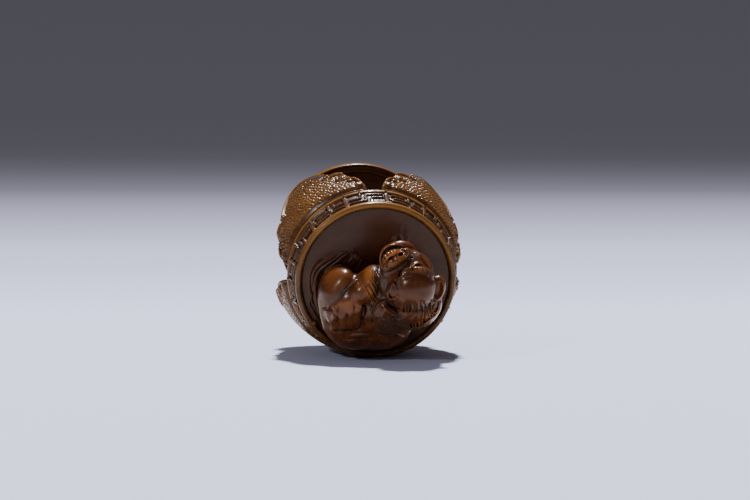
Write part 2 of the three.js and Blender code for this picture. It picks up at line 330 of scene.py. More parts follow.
def fret_map():
    """Raised fret lines: 1 on a line, 0 in the channel."""
    def fn(deg, s):
        x = (deg - FRET_PHASE) / FRET_UNIT
        n = np.floor(x).astype(int)
        x = x - n
        y = (s - BAND_FRONT) / (BAND_BACK - BAND_FRONT)
        L = FRET_UNIT * math.pi / 180 * 13.4                # mm in a unit
        H = BAND_BACK - BAND_FRONT
        X, Y = x * L, y * H
        d = np.full(X.shape, 9.0, np.float32)

        def line(x0, y0, x1, y1, pick=None, w=0.0):
            nonlocal d
            ax, ay, bx, by = x0 * L, y0 * H, x1 * L, y1 * H
            ex, ey = bx - ax, by - ay
            t = np.clip(((X - ax) * ex + (Y - ay) * ey) / (ex * ex + ey * ey), 0, 1)
            q = np.hypot(X - ax - t * ex, Y - ay - t * ey) - w
            if pick is not None:
                q = np.where(pick, q, 9.0)
            d = np.minimum(d, q)
        odd = (n % 2) == 1                                  # a stepped line with two hooks
        even = ~odd                                         # a round-ended loop and a bracket
        line(0.0, -0.1, 0.0, 1.1, None, 0.13)
        line(1.0, -0.1, 1.0, 1.1, None, 0.13)
        line(0.10, 0.16, 0.50, 0.16, odd)
        line(0.50, 0.16, 0.50, 0.82, odd)
        line(0.50, 0.82, 0.90, 0.82, odd)
        line(0.10, 0.52, 0.36, 0.52, odd)
        line(0.36, 0.52, 0.38, 1.05, odd)
        line(0.64, 0.46, 0.91, 0.46, odd)
        line(0.64, 0.46, 0.62, -0.05, odd)
        line(0.15, 0.18, 0.50, 0.18, even)
        line(0.15, 0.18, 0.08, 0.34, even)
        line(0.08, 0.34, 0.08, 0.62, even)
        line(0.08, 0.62, 0.15, 0.80, even)
        line(0.15, 0.80, 0.44, 0.80, even)
        line(0.21, 0.49, 0.56, 0.49, even)
        line(0.56, 0.49, 0.56, 1.05, even)
        line(0.62, 0.18, 0.93, 0.18, even)
        line(0.70, 0.52, 0.93, 0.52, even)
        line(0.70, 0.52, 0.70, 0.84, even)
        d = d + 0.02 * np.sin(deg * 1.7) + 0.015 * np.sin(deg * 4.3 + s * 3)
        return step(0.25, 0.13, d)
    return Table(fn, -181.0, 181.0, BAND_FRONT - 0.2, BAND_BACK + 0.2, 0.06)


fret_table = fret_map()
say("tables")


def pedestal(P, relief=True):
    x, y, z = P[:, 0], P[:, 1], P[:, 2]
    r = np.hypot(x, y)
    s = -z
    deg = np.degrees(np.arctan2(x, y))
    d = core_table(r, s)
    if relief:
        i = np.nonzero((s > BAND_FRONT - 0.1) & (s < BAND_BACK + 0.12) & (r > 12.3) & (r < 14.6))[0]
        if len(i):
            up = fret_table(deg[i], s[i]) * step(12.5, 12.9, r[i])
            d[i] -= 0.33 * up
    # cloth flaps
    i = np.nonzero((s > 4.4) & (s < 23.0) & (r > 10.0))[0]
    if len(i):
        ri, si, di = r[i], s[i], deg[i]
        k = np.floor(di / 90.0).astype(int) % 4
        a = di - np.floor(di / 90.0) * 90.0 - 45.0
        u = np.radians(a) * ARC_R
        e = flap_edge(np.abs(u), si)
        Ro = curve1(FLAP_FACE, si)
        if relief:
            h = np.zeros_like(Ro)
            near = np.abs(ri - Ro) < 1.2
            for kk in range(4):
                j = np.nonzero(near & (k == kk))[0]
                if len(j):
                    h[j] = relief_tables[kk](u[j], si[j])
            Ro = Ro + h
        end = np.interp(np.abs(a), np.arange(0, 45.01, 0.25), ends_soft).astype(np.float32)
        root = FLAP_START + 0.4 + (end - FLAP_START) * 0.55
        t = np.clip((si - root) / np.maximum(end - root, 0.3), -1.5, 1.5)
        Rroot = curve1(CORE, root)
        Rin = Rroot + (curve1(FLAP_FACE, end) - FLAP_T - Rroot) * t
        slab = smax((ri - Ro) * 0.96, (Rin - ri) * 0.85, 0.2)
        f = smax(slab, e, 0.22)
        d[i] = smin(d[i], f, 0.12)
    return d


cord_path = []
for t in np.linspace(0, 1, 17):
    b = [(1 - t) ** 3, 3 * t * (1 - t) ** 2, 3 * t * t * (1 - t), t ** 3]
    xs = [-CORD_GAP, -CORD_GAP * 0.9, CORD_GAP * 0.9, CORD_GAP]
    zs = [-FOOT_Z - 1, -FOOT_Z + CORD_DEPTH * 1.5, -FOOT_Z + CORD_DEPTH * 1.5, -FOOT_Z - 1]
    cord_path.append((sum(p * q for p, q in zip(b, xs)), 0.0, sum(p * q for p, q in zip(b, zs))))
cord_path = np.array(cord_path, np.float32)


def chain(P, pts, r0, r1):
    """Distance to a round strand along pts; its radius goes from r0 to r1."""
    pts = np.asarray(pts, np.float32)
    n = len(pts) - 1
    best = np.full(len(P), 9.0, np.float32)
    for i in range(n):
        a, b = pts[i], pts[i + 1]
        ab = b - a
        w = P - a
        t = np.clip((w @ ab) / float(ab @ ab), 0, 1)
        q = w - t[:, None] * ab
        g = (i + t) / n
        best = np.minimum(best, np.sqrt((q * q).sum(1)) - (r0 + (r1 - r0) * g))
    return best


# ---- where the carving is looked at from -------------------------------------------
AZ, EL, DIST, AIM_X, AIM_Y = -7.29, 2.53, 272.9, -0.20, 5.07
az, el = math.radians(AZ), math.radians(EL)
back = np.array([math.sin(az) * math.cos(el), -math.cos(az) * math.cos(el), math.sin(el)])
side = np.array([math.cos(az), math.sin(az), 0.0])
over = np.cross(back, side)
eye = back * DIST                                       # from the disc's centre, in mm
aim = side * AIM_X + over * AIM_Y
look_w = (eye - aim) / np.linalg.norm(eye - aim)
look_x = np.cross((0, 0, 1.0), look_w)
look_x /= np.linalg.norm(look_x)
look_y = np.cross(look_w, look_x)


def upright(v):
    """A row-frame direction turned into the upright frame."""
    return np.array([v[0], v[1] * COS + v[2] * SIN, -v[1] * SIN + v[2] * COS], np.float32)


EYE, EX, EY, EW = upright(eye), upright(look_x), upright(look_y), upright(look_w)


def seen(P):
    """Where points appear from in front: mm across and up at the disc's distance."""
    q = P - EYE
    depth = -(q @ EW)
    return DIST * (q @ EX) / depth, DIST * (q @ EY) / depth


# ---- the animal -------------------------------------------------------------------
MASSES = [
    # centre, half sizes, turn about the axis, blend
    ((-1.6, -4.7, 2.2), (7.4, 5.9, 5.2), 0, 0.3),         # torso
    ((-4.2, -6.1, 3.2), (4.3, 3.9, 3.9), -20, 0.8),       # rump
    ((1.0, -6.0, 3.1), (4.7, 4.2, 3.9), 15, 0.6),         # belly
    ((0.4, -2.2, 6.0), (4.6, 4.2, 3.8), 0, 1.0),          # chest
    ((2.2, 1.2, 5.0), (3.6, 4.2, 5.6), 0, 1.0),           # neck
    ((3.4, -2.6, 4.8), (4.8, 3.7, 4.4), 10, 0.8),         # ruff
    ((5.0, -1.5, 7.6), (4.5, 4.0, 4.4), 20, 0.7),
    ((0.1, -2.0, 7.7), (2.1, 3.0, 3.2), 0, 0.7),
    ((-3.2, 0.5, 6.4), (2.4, 2.6, 3.6), -35, 0.8),        # shoulder
    ((-1.9, 1.8, 6.9), (1.9, 2.9, 2.8), -25, 0.9),        # ridge of the neck
    ((-5.0, -1.4, 6.0), (2.7, 3.3, 3.2), -30, 0.55),      # forearm
    ((-5.8, -3.3, 6.0), (3.0, 2.7, 2.6), 0, 0.6),         # paw
    ((-6.65, -0.3, 4.0), (3.05, 4.1, 4.3), -12, 0.22),     # haunch
    ((3.3, 3.5, 9.6), (4.5, 3.8, 3.2), 36, 0.5),          # cheeks
    ((4.0, 2.3, 11.0), (4.0, 3.8, 4.3), 36, 0.4),         # skull
]
HEAD_A = np.array([-0.588, 0.809, 0], np.float32)       # towards the muzzle
HEAD_B = np.array([0.809, 0.588, 0], np.float32)        # towards the right ear
HEAD_O = np.array([3.6, 3.0, 0.0], np.float32)
DOME = (4.3, 2.6)                                       # the mane spreads from here


def head(a, b, c):
    """Head frame (mm): a to the muzzle, b to the right ear, c height."""
    return HEAD_O + a * HEAD_A + b * HEAD_B + np.array([0, 0, c], np.float32)


def frame3(turn=0, lean_x=0, lean_y=0):
    t, p, q = map(math.radians, (turn, lean_x, lean_y))
    Rz = np.array([[math.cos(t), -math.sin(t), 0], [math.sin(t), math.cos(t), 0], [0, 0, 1]])
    Rx = np.array([[1, 0, 0], [0, math.cos(p), -math.sin(p)], [0, math.sin(p), math.cos(p)]])
    Ry = np.array([[math.cos(q), 0, math.sin(q)], [0, 1, 0], [-math.sin(q), 0, math.cos(q)]])
    return (Rz @ Ry @ Rx).astype(np.float32)


def ellipsoid(P, at, size, R):
    q = ((P - np.asarray(at, np.float32)) @ R) / np.asarray(size, np.float32)
    k0 = np.sqrt((q * q).sum(1)) + 1e-6
    q /= np.asarray(size, np.float32)
    k1 = np.sqrt((q * q).sum(1)) + 1e-6
    return k0 * (k0 - 1) / k1


def smooth_path(pts, n=24):
    """Catmull-Rom through pts."""
    pts = np.asarray(pts, float)
    p = np.vstack([2 * pts[0] - pts[1], pts, 2 * pts[-1] - pts[-2]])
    out = []
    m = len(pts) - 1
    for t in np.linspace(0, m, n):
        i = min(int(t), m - 1)
        f = t - i
        a, b, c, d = p[i], p[i + 1], p[i + 2], p[i + 3]
        out.append(0.5 * ((2 * b) + (-a + c) * f + (2 * a - 5 * b + 4 * c - d) * f * f + (-a + 3 * b - 3 * c + d) * f ** 3))
    return np.array(out)


class Clay:
    def __init__(self, P):
        self.P = P
        self.d = np.full(len(P), 9.0, np.float32)

    def near(self, at, reach):
        q = self.P - np.asarray(at, np.float32)
        return np.nonzero((q * q).sum(1) < reach * reach)[0]

    def add(self, at, size, k=0.4, turn=0, lean_x=0, lean_y=0):
        i = self.near(at, max(size) + k + 1.4)
        if len(i):
            e = ellipsoid(self.P[i], at, size, frame3(turn, lean_x, lean_y))
            self.d[i] = smin(self.d[i], e, k)

    def cut(self, at, size, k=0.3, turn=0, lean_x=0, lean_y=0):
        i = self.near(at, max(size) + k + 0.6)
        if len(i):
            e = ellipsoid(self.P[i], at, size, frame3(turn, lean_x, lean_y))
            self.d[i] = smax(self.d[i], -e, k)

    def span(self, pts, more):
        pts = np.asarray(pts, np.float32)
        mid = (pts.max(0) + pts.min(0)) / 2
        return self.near(mid, np.linalg.norm(pts.max(0) - pts.min(0)) / 2 + more)

    def strand(self, pts, r0, r1, k=0.15):
        i = self.span(pts, max(r0, r1) + k + 0.8)
        if len(i):
            self.d[i] = smin(self.d[i], chain(self.P[i], pts, r0, r1), k)

    def groove(self, pts, r, depth):
        """A line cut into whatever surface passes within r of pts."""
        i = self.span(pts, r + 0.3)
        if len(i):
            q = chain(self.P[i], pts, 0, 0)
            self.d[i] += depth * bump(q, r)

    def relief(self, at, size, fn, turn=0, soft=0.72):
        """Raises the surface by fn(P) inside a soft-edged ellipsoid."""
        i = self.near(at, max(size) * 1.05)
        if len(i):
            q = ((self.P[i] - np.asarray(at, np.float32)) @ frame3(turn)) / np.asarray(size, np.float32)
            w = step(1.0, soft, np.sqrt((q * q).sum(1)))
            j = np.nonzero(w > 0)[0]
            if len(j):
                self.d[i[j]] -= w[j] * fn(self.P[i[j]])


class Drawn:
    """Small carving drawn on the masses as they are seen from in front."""

    def __init__(self, c):
        self.c = c
        self.i = np.nonzero((c.P[:, 2] > 0.2) & (np.abs(c.d) < 1.5))[0]
        self.P = c.P[self.i]
        self.z = self.P[:, 2]
        self.u, self.v = seen(self.P)
        self.up = np.zeros(len(self.i), np.float32)

    def line(self, pts, width, amp, z0=0.2, start=1.0, end=1.0, z1=99.0):
        """Raises a ridge (or with amp < 0 cuts a groove) along pts."""
        pts = np.asarray(pts, np.float32)
        lo, hi = pts.min(0) - width, pts.max(0) + width
        m = np.nonzero((self.u > lo[0]) & (self.u < hi[0]) & (self.v > lo[1]) & (self.v < hi[1]) & (self.z > z0) & (self.z < z1))[0]
        if not len(m):
            return
        u, v = self.u[m], self.v[m]
        best = np.full(len(m), 9.0, np.float32)
        along = np.zeros(len(m), np.float32)
        n = len(pts) - 1
        for k in range(n):
            ax, ay = pts[k]
            ex, ey = pts[k + 1] - pts[k]
            t = np.clip(((u - ax) * ex + (v - ay) * ey) / (ex * ex + ey * ey), 0, 1)
            q = np.hypot(u - ax - t * ex, v - ay - t * ey)
            near = q < best
            best = np.where(near, q, best)
            along = np.where(near, (k + t) / n, along)
        full = start + (1 - start) * np.clip(along / 0.3, 0, 1)
        full = full * (end + (1 - end) * np.clip((1 - along) / 0.4, 0, 1))
        h = amp * full * bump(best, width * (0.6 + 0.4 * full))
        if amp > 0:
            self.up[m] = np.maximum(self.up[m], h)
        else:
            self.up[m] = np.minimum(self.up[m], h + np.maximum(self.up[m], 0) * (1 + h / max(-amp, 1e-3)))

    def patch(self, at, size, turn, fn, z0=0.2, soft=0.7):
        """Adds fn(u, v, P) inside a soft-edged oval."""
        t = math.radians(turn)
        x, y = self.u - at[0], self.v - at[1]
        a, b = (x * math.cos(t) + y * math.sin(t)) / size[0], (-x * math.sin(t) + y * math.cos(t)) / size[1]
        q = np.hypot(a, b)
        m = np.nonzero((q < 1) & (self.z > z0))[0]
        if len(m):
            self.up[m] += step(1.0, soft, q[m]) * fn(self.u[m], self.v[m], self.P[m])

    def done(self):
        self.c.d[self.i] -= self.up


def hair(P, direction, pitch, amp, warp=0.25, seed=5, sharp=0.6):
    """Fine carved hair: grooves running along direction in plan."""
    dx, dy = direction
    n = math.hypot(dx, dy)
    dx, dy = dx / n, dy / n
    across = P[:, 0] * -dy + P[:, 1] * dx + warp * noise(P, 1.3, seed)
    v = np.abs(np.sin(math.pi * across / pitch))
    return amp * (v ** sharp - 0.65)


def flames(P, amp):
    """Locks of the mane: they run out from the dome, each bending like a flame."""
    x, y = P[:, 0] - DOME[0], P[:, 1] - DOME[1]
    rho = np.hypot(x, y)
    phi = np.degrees(np.arctan2(y, x))
    t = (phi + 9.0 * np.sin(rho * 1.15 - 1.2) + 3.0 * noise(P, 1.6, 21)) / 10.5
    v = np.abs((t % 1.0) - 0.5) * 2                       # 0 in the middle of a lock
    lock = 1 - v ** 2.2
    fine = np.abs(np.sin(math.pi * t * 3))
    return amp * (lock - 0.55 + 0.16 * (fine - 0.5))


def punched(P, pitch, amp, seed=31):
    """Punched skin: small pits scattered over the surface."""
    q = P / pitch
    i = np.floor(q).astype(np.int32)
    best = np.full(len(P), 9.0, np.float32)
    for dx in (-1, 0, 1):
        for dy in (-1, 0, 1):
            for dz in (-1, 0, 1):
                a, b, c = i[:, 0] + dx, i[:, 1] + dy, i[:, 2] + dz
                ox = a + hash3(a, b, c, seed)
                oy = b + hash3(a, b, c, seed + 1)
                oz = c + hash3(a, b, c, seed + 2)
                best = np.minimum(best, (q[:, 0] - ox) ** 2 + (q[:, 1] - oy) ** 2 + (q[:, 2] - oz) ** 2)
    return amp * (np.sqrt(best) * 1.6 - 0.8)


def curl(c, at, normal, r, k=0.12):
    """A wound lock: a ring with a bead in it, lying on the surface."""
    n = np.asarray(normal, float)
    n /= np.linalg.norm(n)
    u = np.cross(n, (0, 0, 1.0)) if abs(n[2]) < 0.9 else np.array((1.0, 0, 0))
    u /= np.linalg.norm(u)
    v = np.cross(n, u)
    t = np.linspace(0.3, 2 * math.pi + 0.9, 22)
    rr = np.linspace(r, r * 0.62, 22)
    pts = np.array([np.asarray(at) + (math.cos(q) * u + math.sin(q) * v) * w for q, w in zip(t, rr)])
    c.strand(pts, r * 0.30, r * 0.2, k)
    c.add(at, (r * 0.34, r * 0.34, r * 0.4), 0.08)


# lines of the carving as seen from in front: points (mm across, up), half width,
# height, lowest z they reach, fullness at start and end
HEAD_LINES = [
    ([(4.17, -3.77), (4.41, -3.37), (4.82, -2.97), (5.30, -2.73), (5.86, -2.73)], 0.26, 0.20, 9.5, 0.30, 1.00),
    ([(6.02, -2.89), (6.10, -2.49), (6.42, -2.18), (6.90, -2.07), (7.38, -2.18), (7.71, -2.41)], 0.30, 0.30, 9.5, 0.70, 0.20),
    ([(6.66, -2.89), (7.06, -2.89), (7.54, -2.94), (8.03, -3.05), (8.51, -3.26), (8.83, -3.61), (9.23, -4.17)], 0.30, 0.26, 9.5, 0.60, 0.40),
    ([(5.94, -2.94), (6.42, -3.37), (6.90, -3.85), (7.46, -4.30)], 0.22, -0.34, 9.5, 0.60, 0.10),
    ([(6.58, -2.86), (6.90, -3.26), (7.22, -3.69), (7.71, -4.14)], 0.20, -0.34, 9.5, 0.60, 0.10),
    ([(7.46, -3.13), (7.87, -3.58), (8.19, -4.01), (8.64, -4.46)], 0.20, -0.30, 9.5, 0.50, 0.10),
    ([(8.19, -3.29), (8.51, -3.66), (8.91, -4.14)], 0.18, -0.28, 9.5, 0.50, 0.10),
    ([(4.66, -2.97), (4.17, -3.37), (3.93, -3.93), (3.79, -4.49), (3.82, -4.98), (4.01, -5.54)], 0.26, -0.30, 9.0, 0.20, 0.15),
    ([(4.74, -4.70), (5.30, -4.38), (5.94, -4.21)], 0.22, -0.16, 9.5, 0.20, 0.20),
    ([(3.37, -4.59), (2.97, -5.14), (2.57, -5.78), (2.18, -6.42), (1.97, -7.06), (2.05, -7.63), (2.49, -7.96), (3.05, -8.03), (3.58, -7.79), (3.88, -7.35)], 0.34, 0.30, 8.0, 0.90, 0.40),
    ([(3.37, -4.62), (3.44, -4.98), (3.53, -5.38)], 0.26, 0.26, 8.0, 1.00, 0.20),
    ([(3.24, -5.06), (3.47, -5.70), (3.79, -6.50)], 0.20, -0.20, 8.0, 0.40, 0.10),
    ([(3.08, -5.70), (3.10, -6.18), (3.24, -6.87)], 0.18, -0.08, 8.0, 0.30, 0.10),
    ([(2.78, -6.34), (2.73, -6.90), (2.57, -7.46)], 0.20, -0.06, 8.0, 0.30, 0.30),
    ([(2.33, -7.06), (2.41, -7.54), (2.73, -7.71)], 0.18, -0.14, 8.0, 0.30, 0.30),
    ([(0.96, -2.57), (0.88, -3.53), (0.92, -4.66), (0.96, -5.78)], 0.24, 0.14, 6.0, 0.40, 0.30),
    ([(1.01, -2.81), (1.33, -2.14), (1.93, -1.49), (2.65, -0.93), (3.29, -0.53), (3.77, -0.10), (4.33, 0.16), (4.98, 0.13)], 0.24, 0.22, 8.5, 0.80, 0.90),
    ([(4.74, -0.24), (5.22, -0.56), (5.62, -0.96), (5.99, -1.28)], 0.24, -0.34, 8.5, 0.50, 0.40),
    ([(4.98, 0.11), (5.54, -0.05), (6.02, -0.40), (6.26, -0.80)], 0.30, 0.18, 8.5, 0.80, 0.30),
    ([(1.96, -1.81), (1.88, -2.25), (1.96, -2.73)], 0.16, -0.28, 8.5, 0.40, 0.40),
    ([(1.73, -2.01), (1.54, -2.49), (1.67, -2.94)], 0.20, 0.16, 8.5, 0.50, 0.50),
    ([(2.41, -1.97), (2.89, -2.01)], 0.34, 0.14, 8.5, 1.00, 1.00),
    ([(3.21, -1.89), (3.69, -1.86)], 0.34, 0.16, 8.5, 1.00, 1.00),
    ([(2.99, -1.04), (2.83, -1.44), (2.95, -1.89)], 0.16, -0.16, 8.5, 0.40, 0.40),
    ([(6.42, -0.39), (6.98, -0.45), (7.54, -1.12), (8.35, -2.17), (8.99, -3.13), (9.52, -4.09)], 0.26, 0.14, 8.0, 0.60, 0.50),
    ([(1.44, -9.02), (1.85, -9.60), (2.41, -10.11), (3.05, -10.48), (3.69, -10.51), (4.05, -9.95)], 0.30, 0.22, 6.0, 0.40, 0.50),
]
MANE_LINES = [
    ([(1.77, -8.03), (1.12, -8.27), (0.56, -8.70), (0.10, -9.28), (-0.26, -9.95), (-0.39, -10.76)], 0.26, 0.26, 5.0, 0.30, 0.20),
    ([(4.62, -8.96), (4.66, -9.55), (4.54, -10.19)], 0.20, -0.30, 5.0, 0.50, 0.10),
    ([(5.14, -8.91), (5.12, -9.47), (5.04, -9.95)], 0.17, -0.24, 5.0, 0.50, 0.10),
    ([(5.62, -8.86), (5.65, -9.47), (5.55, -10.19)], 0.20, -0.30, 5.0, 0.50, 0.10),
    ([(6.16, -8.91), (6.29, -9.63), (6.24, -10.43), (6.00, -11.00)], 0.22, -0.34, 5.0, 0.50, 0.10),
    ([(6.58, -8.67), (6.71, -9.47), (6.68, -10.27), (6.45, -11.16)], 0.18, -0.30, 4.0, 0.50, 0.10),
    ([(7.05, -8.51), (7.22, -9.39), (7.18, -10.27), (6.93, -11.40)], 0.22, -0.38, 3.5, 0.50, 0.20),
    ([(7.63, -8.59), (7.91, -9.23), (8.12, -9.87), (8.25, -10.59)], 0.22, -0.36, 3.5, 0.50, 0.20),
    ([(8.44, -8.64), (8.67, -9.23), (8.75, -9.87), (8.86, -10.11)], 0.16, -0.28, 3.5, 0.50, 0.20),
    ([(5.86, -8.75), (5.97, -9.39), (5.94, -10.03)], 0.16, 0.14, 5.0, 0.60, 0.10),
    ([(6.84, -8.51), (6.97, -9.31), (6.93, -10.19), (6.71, -11.08)], 0.18, 0.20, 4.0, 0.60, 0.10),
    ([(7.38, -8.12), (7.96, -8.41), (8.38, -9.04), (8.51, -9.76), (8.72, -10.43), (9.12, -10.92)], 0.22, 0.30, 3.5, 0.50, 0.50),
    ([(7.42, -8.59), (7.71, -9.23), (7.80, -10.03), (7.64, -10.92), (7.48, -11.80)], 0.24, 0.32, 3.0, 0.50, 0.40),
    ([(8.12, -10.03), (8.15, -10.51), (8.03, -11.08)], 0.17, 0.22, 3.0, 0.40, 0.30),
    ([(9.07, -8.43), (8.97, -9.07), (9.12, -9.76), (9.54, -10.18), (10.00, -9.89), (10.27, -9.25), (10.31, -8.60)], 0.24, 0.32, 3.0, 0.60, 0.60),
    ([(9.60, -8.83), (9.41, -9.20), (9.54, -9.57), (9.82, -9.44)], 0.17, 0.22, 3.0, 0.50, 0.60),
    ([(9.92, -8.80), (9.98, -9.23), (9.79, -9.73)], 0.17, -0.26, 3.0, 0.40, 0.30),
    ([(8.70, -10.21), (8.65, -10.59), (8.96, -10.88), (9.28, -10.69), (9.18, -10.31), (8.86, -10.18)], 0.18, 0.24, 3.0, 0.80, 0.80),
    ([(9.28, -7.93), (9.12, -8.27), (9.37, -8.57)], 0.18, 0.18, 4.0, 0.40, 0.40),
    ([(10.53, -8.51), (10.48, -9.31), (10.15, -10.03), (9.57, -10.69), (8.99, -11.17), (8.41, -11.56), (7.93, -11.94), (7.32, -12.30), (6.68, -12.68), (6.04, -12.94)], 0.30, 0.30, 1.5, 0.70, 0.50),
    ([(5.55, -11.88), (5.65, -12.36), (5.91, -12.81)], 0.16, 0.20, 2.0, 0.20, 0.70),
    ([(5.97, -11.69), (6.07, -12.26), (6.36, -12.68)], 0.16, 0.22, 2.0, 0.20, 0.70),
    ([(6.42, -11.88), (6.55, -12.36), (6.84, -12.52)], 0.16, 0.22, 2.0, 0.20, 0.70),
    ([(7.00, -11.48), (7.06, -11.94), (7.32, -12.20)], 0.17, 0.22, 2.0, 0.20, 0.70),
    ([(5.76, -11.96), (5.86, -12.44)], 0.14, -0.24, 2.0, 0.50, 0.50),
    ([(6.23, -11.80), (6.29, -12.30)], 0.14, -0.24, 2.0, 0.50, 0.50),
    ([(6.74, -11.72), (6.81, -12.20)], 0.14, -0.24, 2.0, 0.50, 0.50),
    ([(7.77, -11.00), (7.90, -11.53)], 0.20, -0.30, 2.0, 0.50, 0.50),
    ([(5.54, -11.40), (5.94, -11.08), (6.29, -10.59)], 0.20, 0.14, 3.0, 0.30, 0.30),
    ([(-0.56, -11.00), (-0.39, -11.48), (-0.06, -11.80)], 0.26, -0.22, 3.0, 0.30, 0.30),
]
BODY_LINES = [
    ([(-3.21, -5.22), (-4.01, -5.86), (-4.82, -6.66), (-5.62, -7.54), (-6.42, -8.35), (-7.22, -8.99)], 1.05, -0.75, 2.0, 0.50, 0.45),
    ([(-2.97, -4.78), (-3.45, -5.17), (-4.09, -5.78), (-4.66, -6.36), (-5.17, -7.00), (-5.52, -7.71), (-6.07, -8.32), (-6.82, -8.80), (-7.45, -9.09)], 0.26, 0.26, 4.0, 0.60, 0.40),
    ([(-3.77, -5.59), (-4.33, -6.16), (-4.85, -6.74), (-5.22, -7.22)], 0.14, 0.14, 4.0, 0.40, 0.40),
    ([(-6.68, -9.55), (-6.52, -10.11), (-6.16, -10.88), (-5.70, -11.88), (-5.38, -12.60)], 0.34, -0.20, 4.0, 0.40, 0.15),
    ([(-4.67, -10.03), (-4.43, -10.59), (-4.24, -11.40)], 0.26, -0.12, 4.0, 0.30, 0.10),
    ([(-3.40, -8.11), (-3.31, -8.99), (-3.24, -9.95)], 0.30, -0.16, 4.0, 0.30, 0.10),
    ([(-2.41, -7.95), (-2.38, -8.83), (-2.44, -9.79)], 0.22, -0.04, 4.0, 0.30, 0.10),
    ([(-1.77, -8.35), (-1.67, -9.47), (-1.77, -10.59)], 0.40, -0.26, 4.0, 0.30, 0.20),
    ([(-5.30, -10.84), (-4.91, -11.64), (-4.59, -12.68)], 0.22, 0.10, 3.0, 0.30, 0.40),
    ([(-6.74, -12.68), (-5.94, -12.94), (-4.98, -13.10), (-4.01, -13.00), (-3.05, -12.84), (-2.09, -12.52)], 0.40, -0.24, 2.0, 0.50, 0.20),
    ([(-5.46, -13.73), (-4.82, -14.13), (-4.01, -14.22), (-2.89, -14.03), (-1.61, -14.00), (-0.48, -14.03), (0.00, -13.77), (0.48, -13.42)], 0.42, -0.22, 1.5, 0.30, 0.50),
    ([(0.48, -13.45), (1.44, -13.61), (2.57, -13.68), (3.53, -13.81), (4.41, -14.19)], 0.36, -0.24, 1.0, 0.50, 0.40),
    ([(-5.14, -13.45), (-4.33, -13.87), (-3.21, -13.74), (-1.77, -13.71), (-0.48, -13.71), (0.16, -13.36)], 0.34, 0.10, 1.5, 0.30, 0.40),
    ([(3.69, -13.64), (4.17, -13.97), (4.66, -14.06)], 0.34, 0.16, 1.0, 0.50, 0.50),
    ([(-8.35, -9.47), (-7.71, -9.39), (-7.22, -9.47)], 0.30, -0.18, 2.0, 0.40, 0.40),
    ([(-7.50, -11.00), (-7.26, -11.64), (-6.77, -12.28), (-6.34, -12.59)], 0.22, 0.14, 2.0, 0.40, 0.30),
]
FUR_LINES = [
    ([(-0.67, -4.94), (-0.39, -5.68), (0.00, -6.42)], 0.17, 0.22, 5.0, 0.30, 0.20),
    ([(-0.22, -4.82), (0.06, -5.55), (0.45, -6.04)], 0.17, 0.22, 5.0, 0.30, 0.20),
    ([(0.22, -3.37), (0.39, -4.08), (0.55, -4.72)], 0.17, 0.22, 5.0, 0.30, 0.20),
    ([(-1.19, -5.39), (-0.90, -6.07), (-0.64, -6.65)], 0.17, 0.19, 5.0, 0.30, 0.20),
    ([(-0.29, -3.85), (-0.10, -4.49), (0.26, -5.20)], 0.17, 0.20, 5.0, 0.30, 0.20),
    ([(-0.06, -2.89), (0.06, -3.53), (0.22, -4.27)], 0.17, 0.17, 5.0, 0.30, 0.20),
    ([(0.19, -2.50), (0.35, -3.11), (0.51, -3.69)], 0.17, 0.17, 5.0, 0.30, 0.20),
    ([(-0.55, -6.68), (-0.26, -7.42), (0.16, -7.99)], 0.17, 0.20, 5.0, 0.30, 0.20),
    ([(-0.83, -5.91), (-0.55, -6.58), (-0.16, -7.16)], 0.17, 0.19, 5.0, 0.30, 0.20),
    ([(-0.03, -6.36), (0.16, -7.00), (0.45, -7.51)], 0.17, 0.19, 5.0, 0.30, 0.20),
    ([(-0.42, -7.83), (-0.06, -8.41), (0.29, -8.76)], 0.17, 0.22, 5.0, 0.30, 0.20),
    ([(-0.90, -7.16), (-0.67, -7.83), (-0.32, -8.35)], 0.17, 0.17, 5.0, 0.30, 0.20),
    ([(-0.71, -8.51), (-0.61, -9.25), (-0.67, -9.89)], 0.17, 0.15, 5.0, 0.30, 0.20),
    ([(-0.42, -8.89), (-0.32, -9.47), (-0.48, -9.95)], 0.17, 0.14, 5.0, 0.30, 0.20),
    ([(-1.51, -5.10), (-1.32, -5.71), (-1.09, -6.26)], 0.17, 0.15, 5.0, 0.30, 0.20),
    ([(-0.71, -4.17), (-0.55, -4.66), (-0.39, -5.07)], 0.17, 0.17, 5.0, 0.30, 0.20),
    ([(-1.03, -4.49), (-0.87, -4.98), (-0.74, -5.30)], 0.17, 0.15, 5.0, 0.30, 0.20),
    ([(-1.35, -6.49), (-1.09, -7.13), (-0.87, -7.71)], 0.17, 0.15, 5.0, 0.30, 0.20),
    ([(-1.70, -5.52), (-1.61, -6.04), (-1.44, -6.52)], 0.17, 0.14, 5.0, 0.30, 0.20),
    ([(-1.12, -7.93), (-0.96, -8.57), (-0.93, -9.15)], 0.17, 0.14, 5.0, 0.30, 0.20),
    ([(0.16, -5.52), (0.42, -6.16), (0.61, -6.58)], 0.17, 0.17, 5.0, 0.30, 0.20),
    ([(0.10, -7.48), (0.32, -8.03), (0.58, -8.41)], 0.17, 0.17, 5.0, 0.30, 0.20),
]

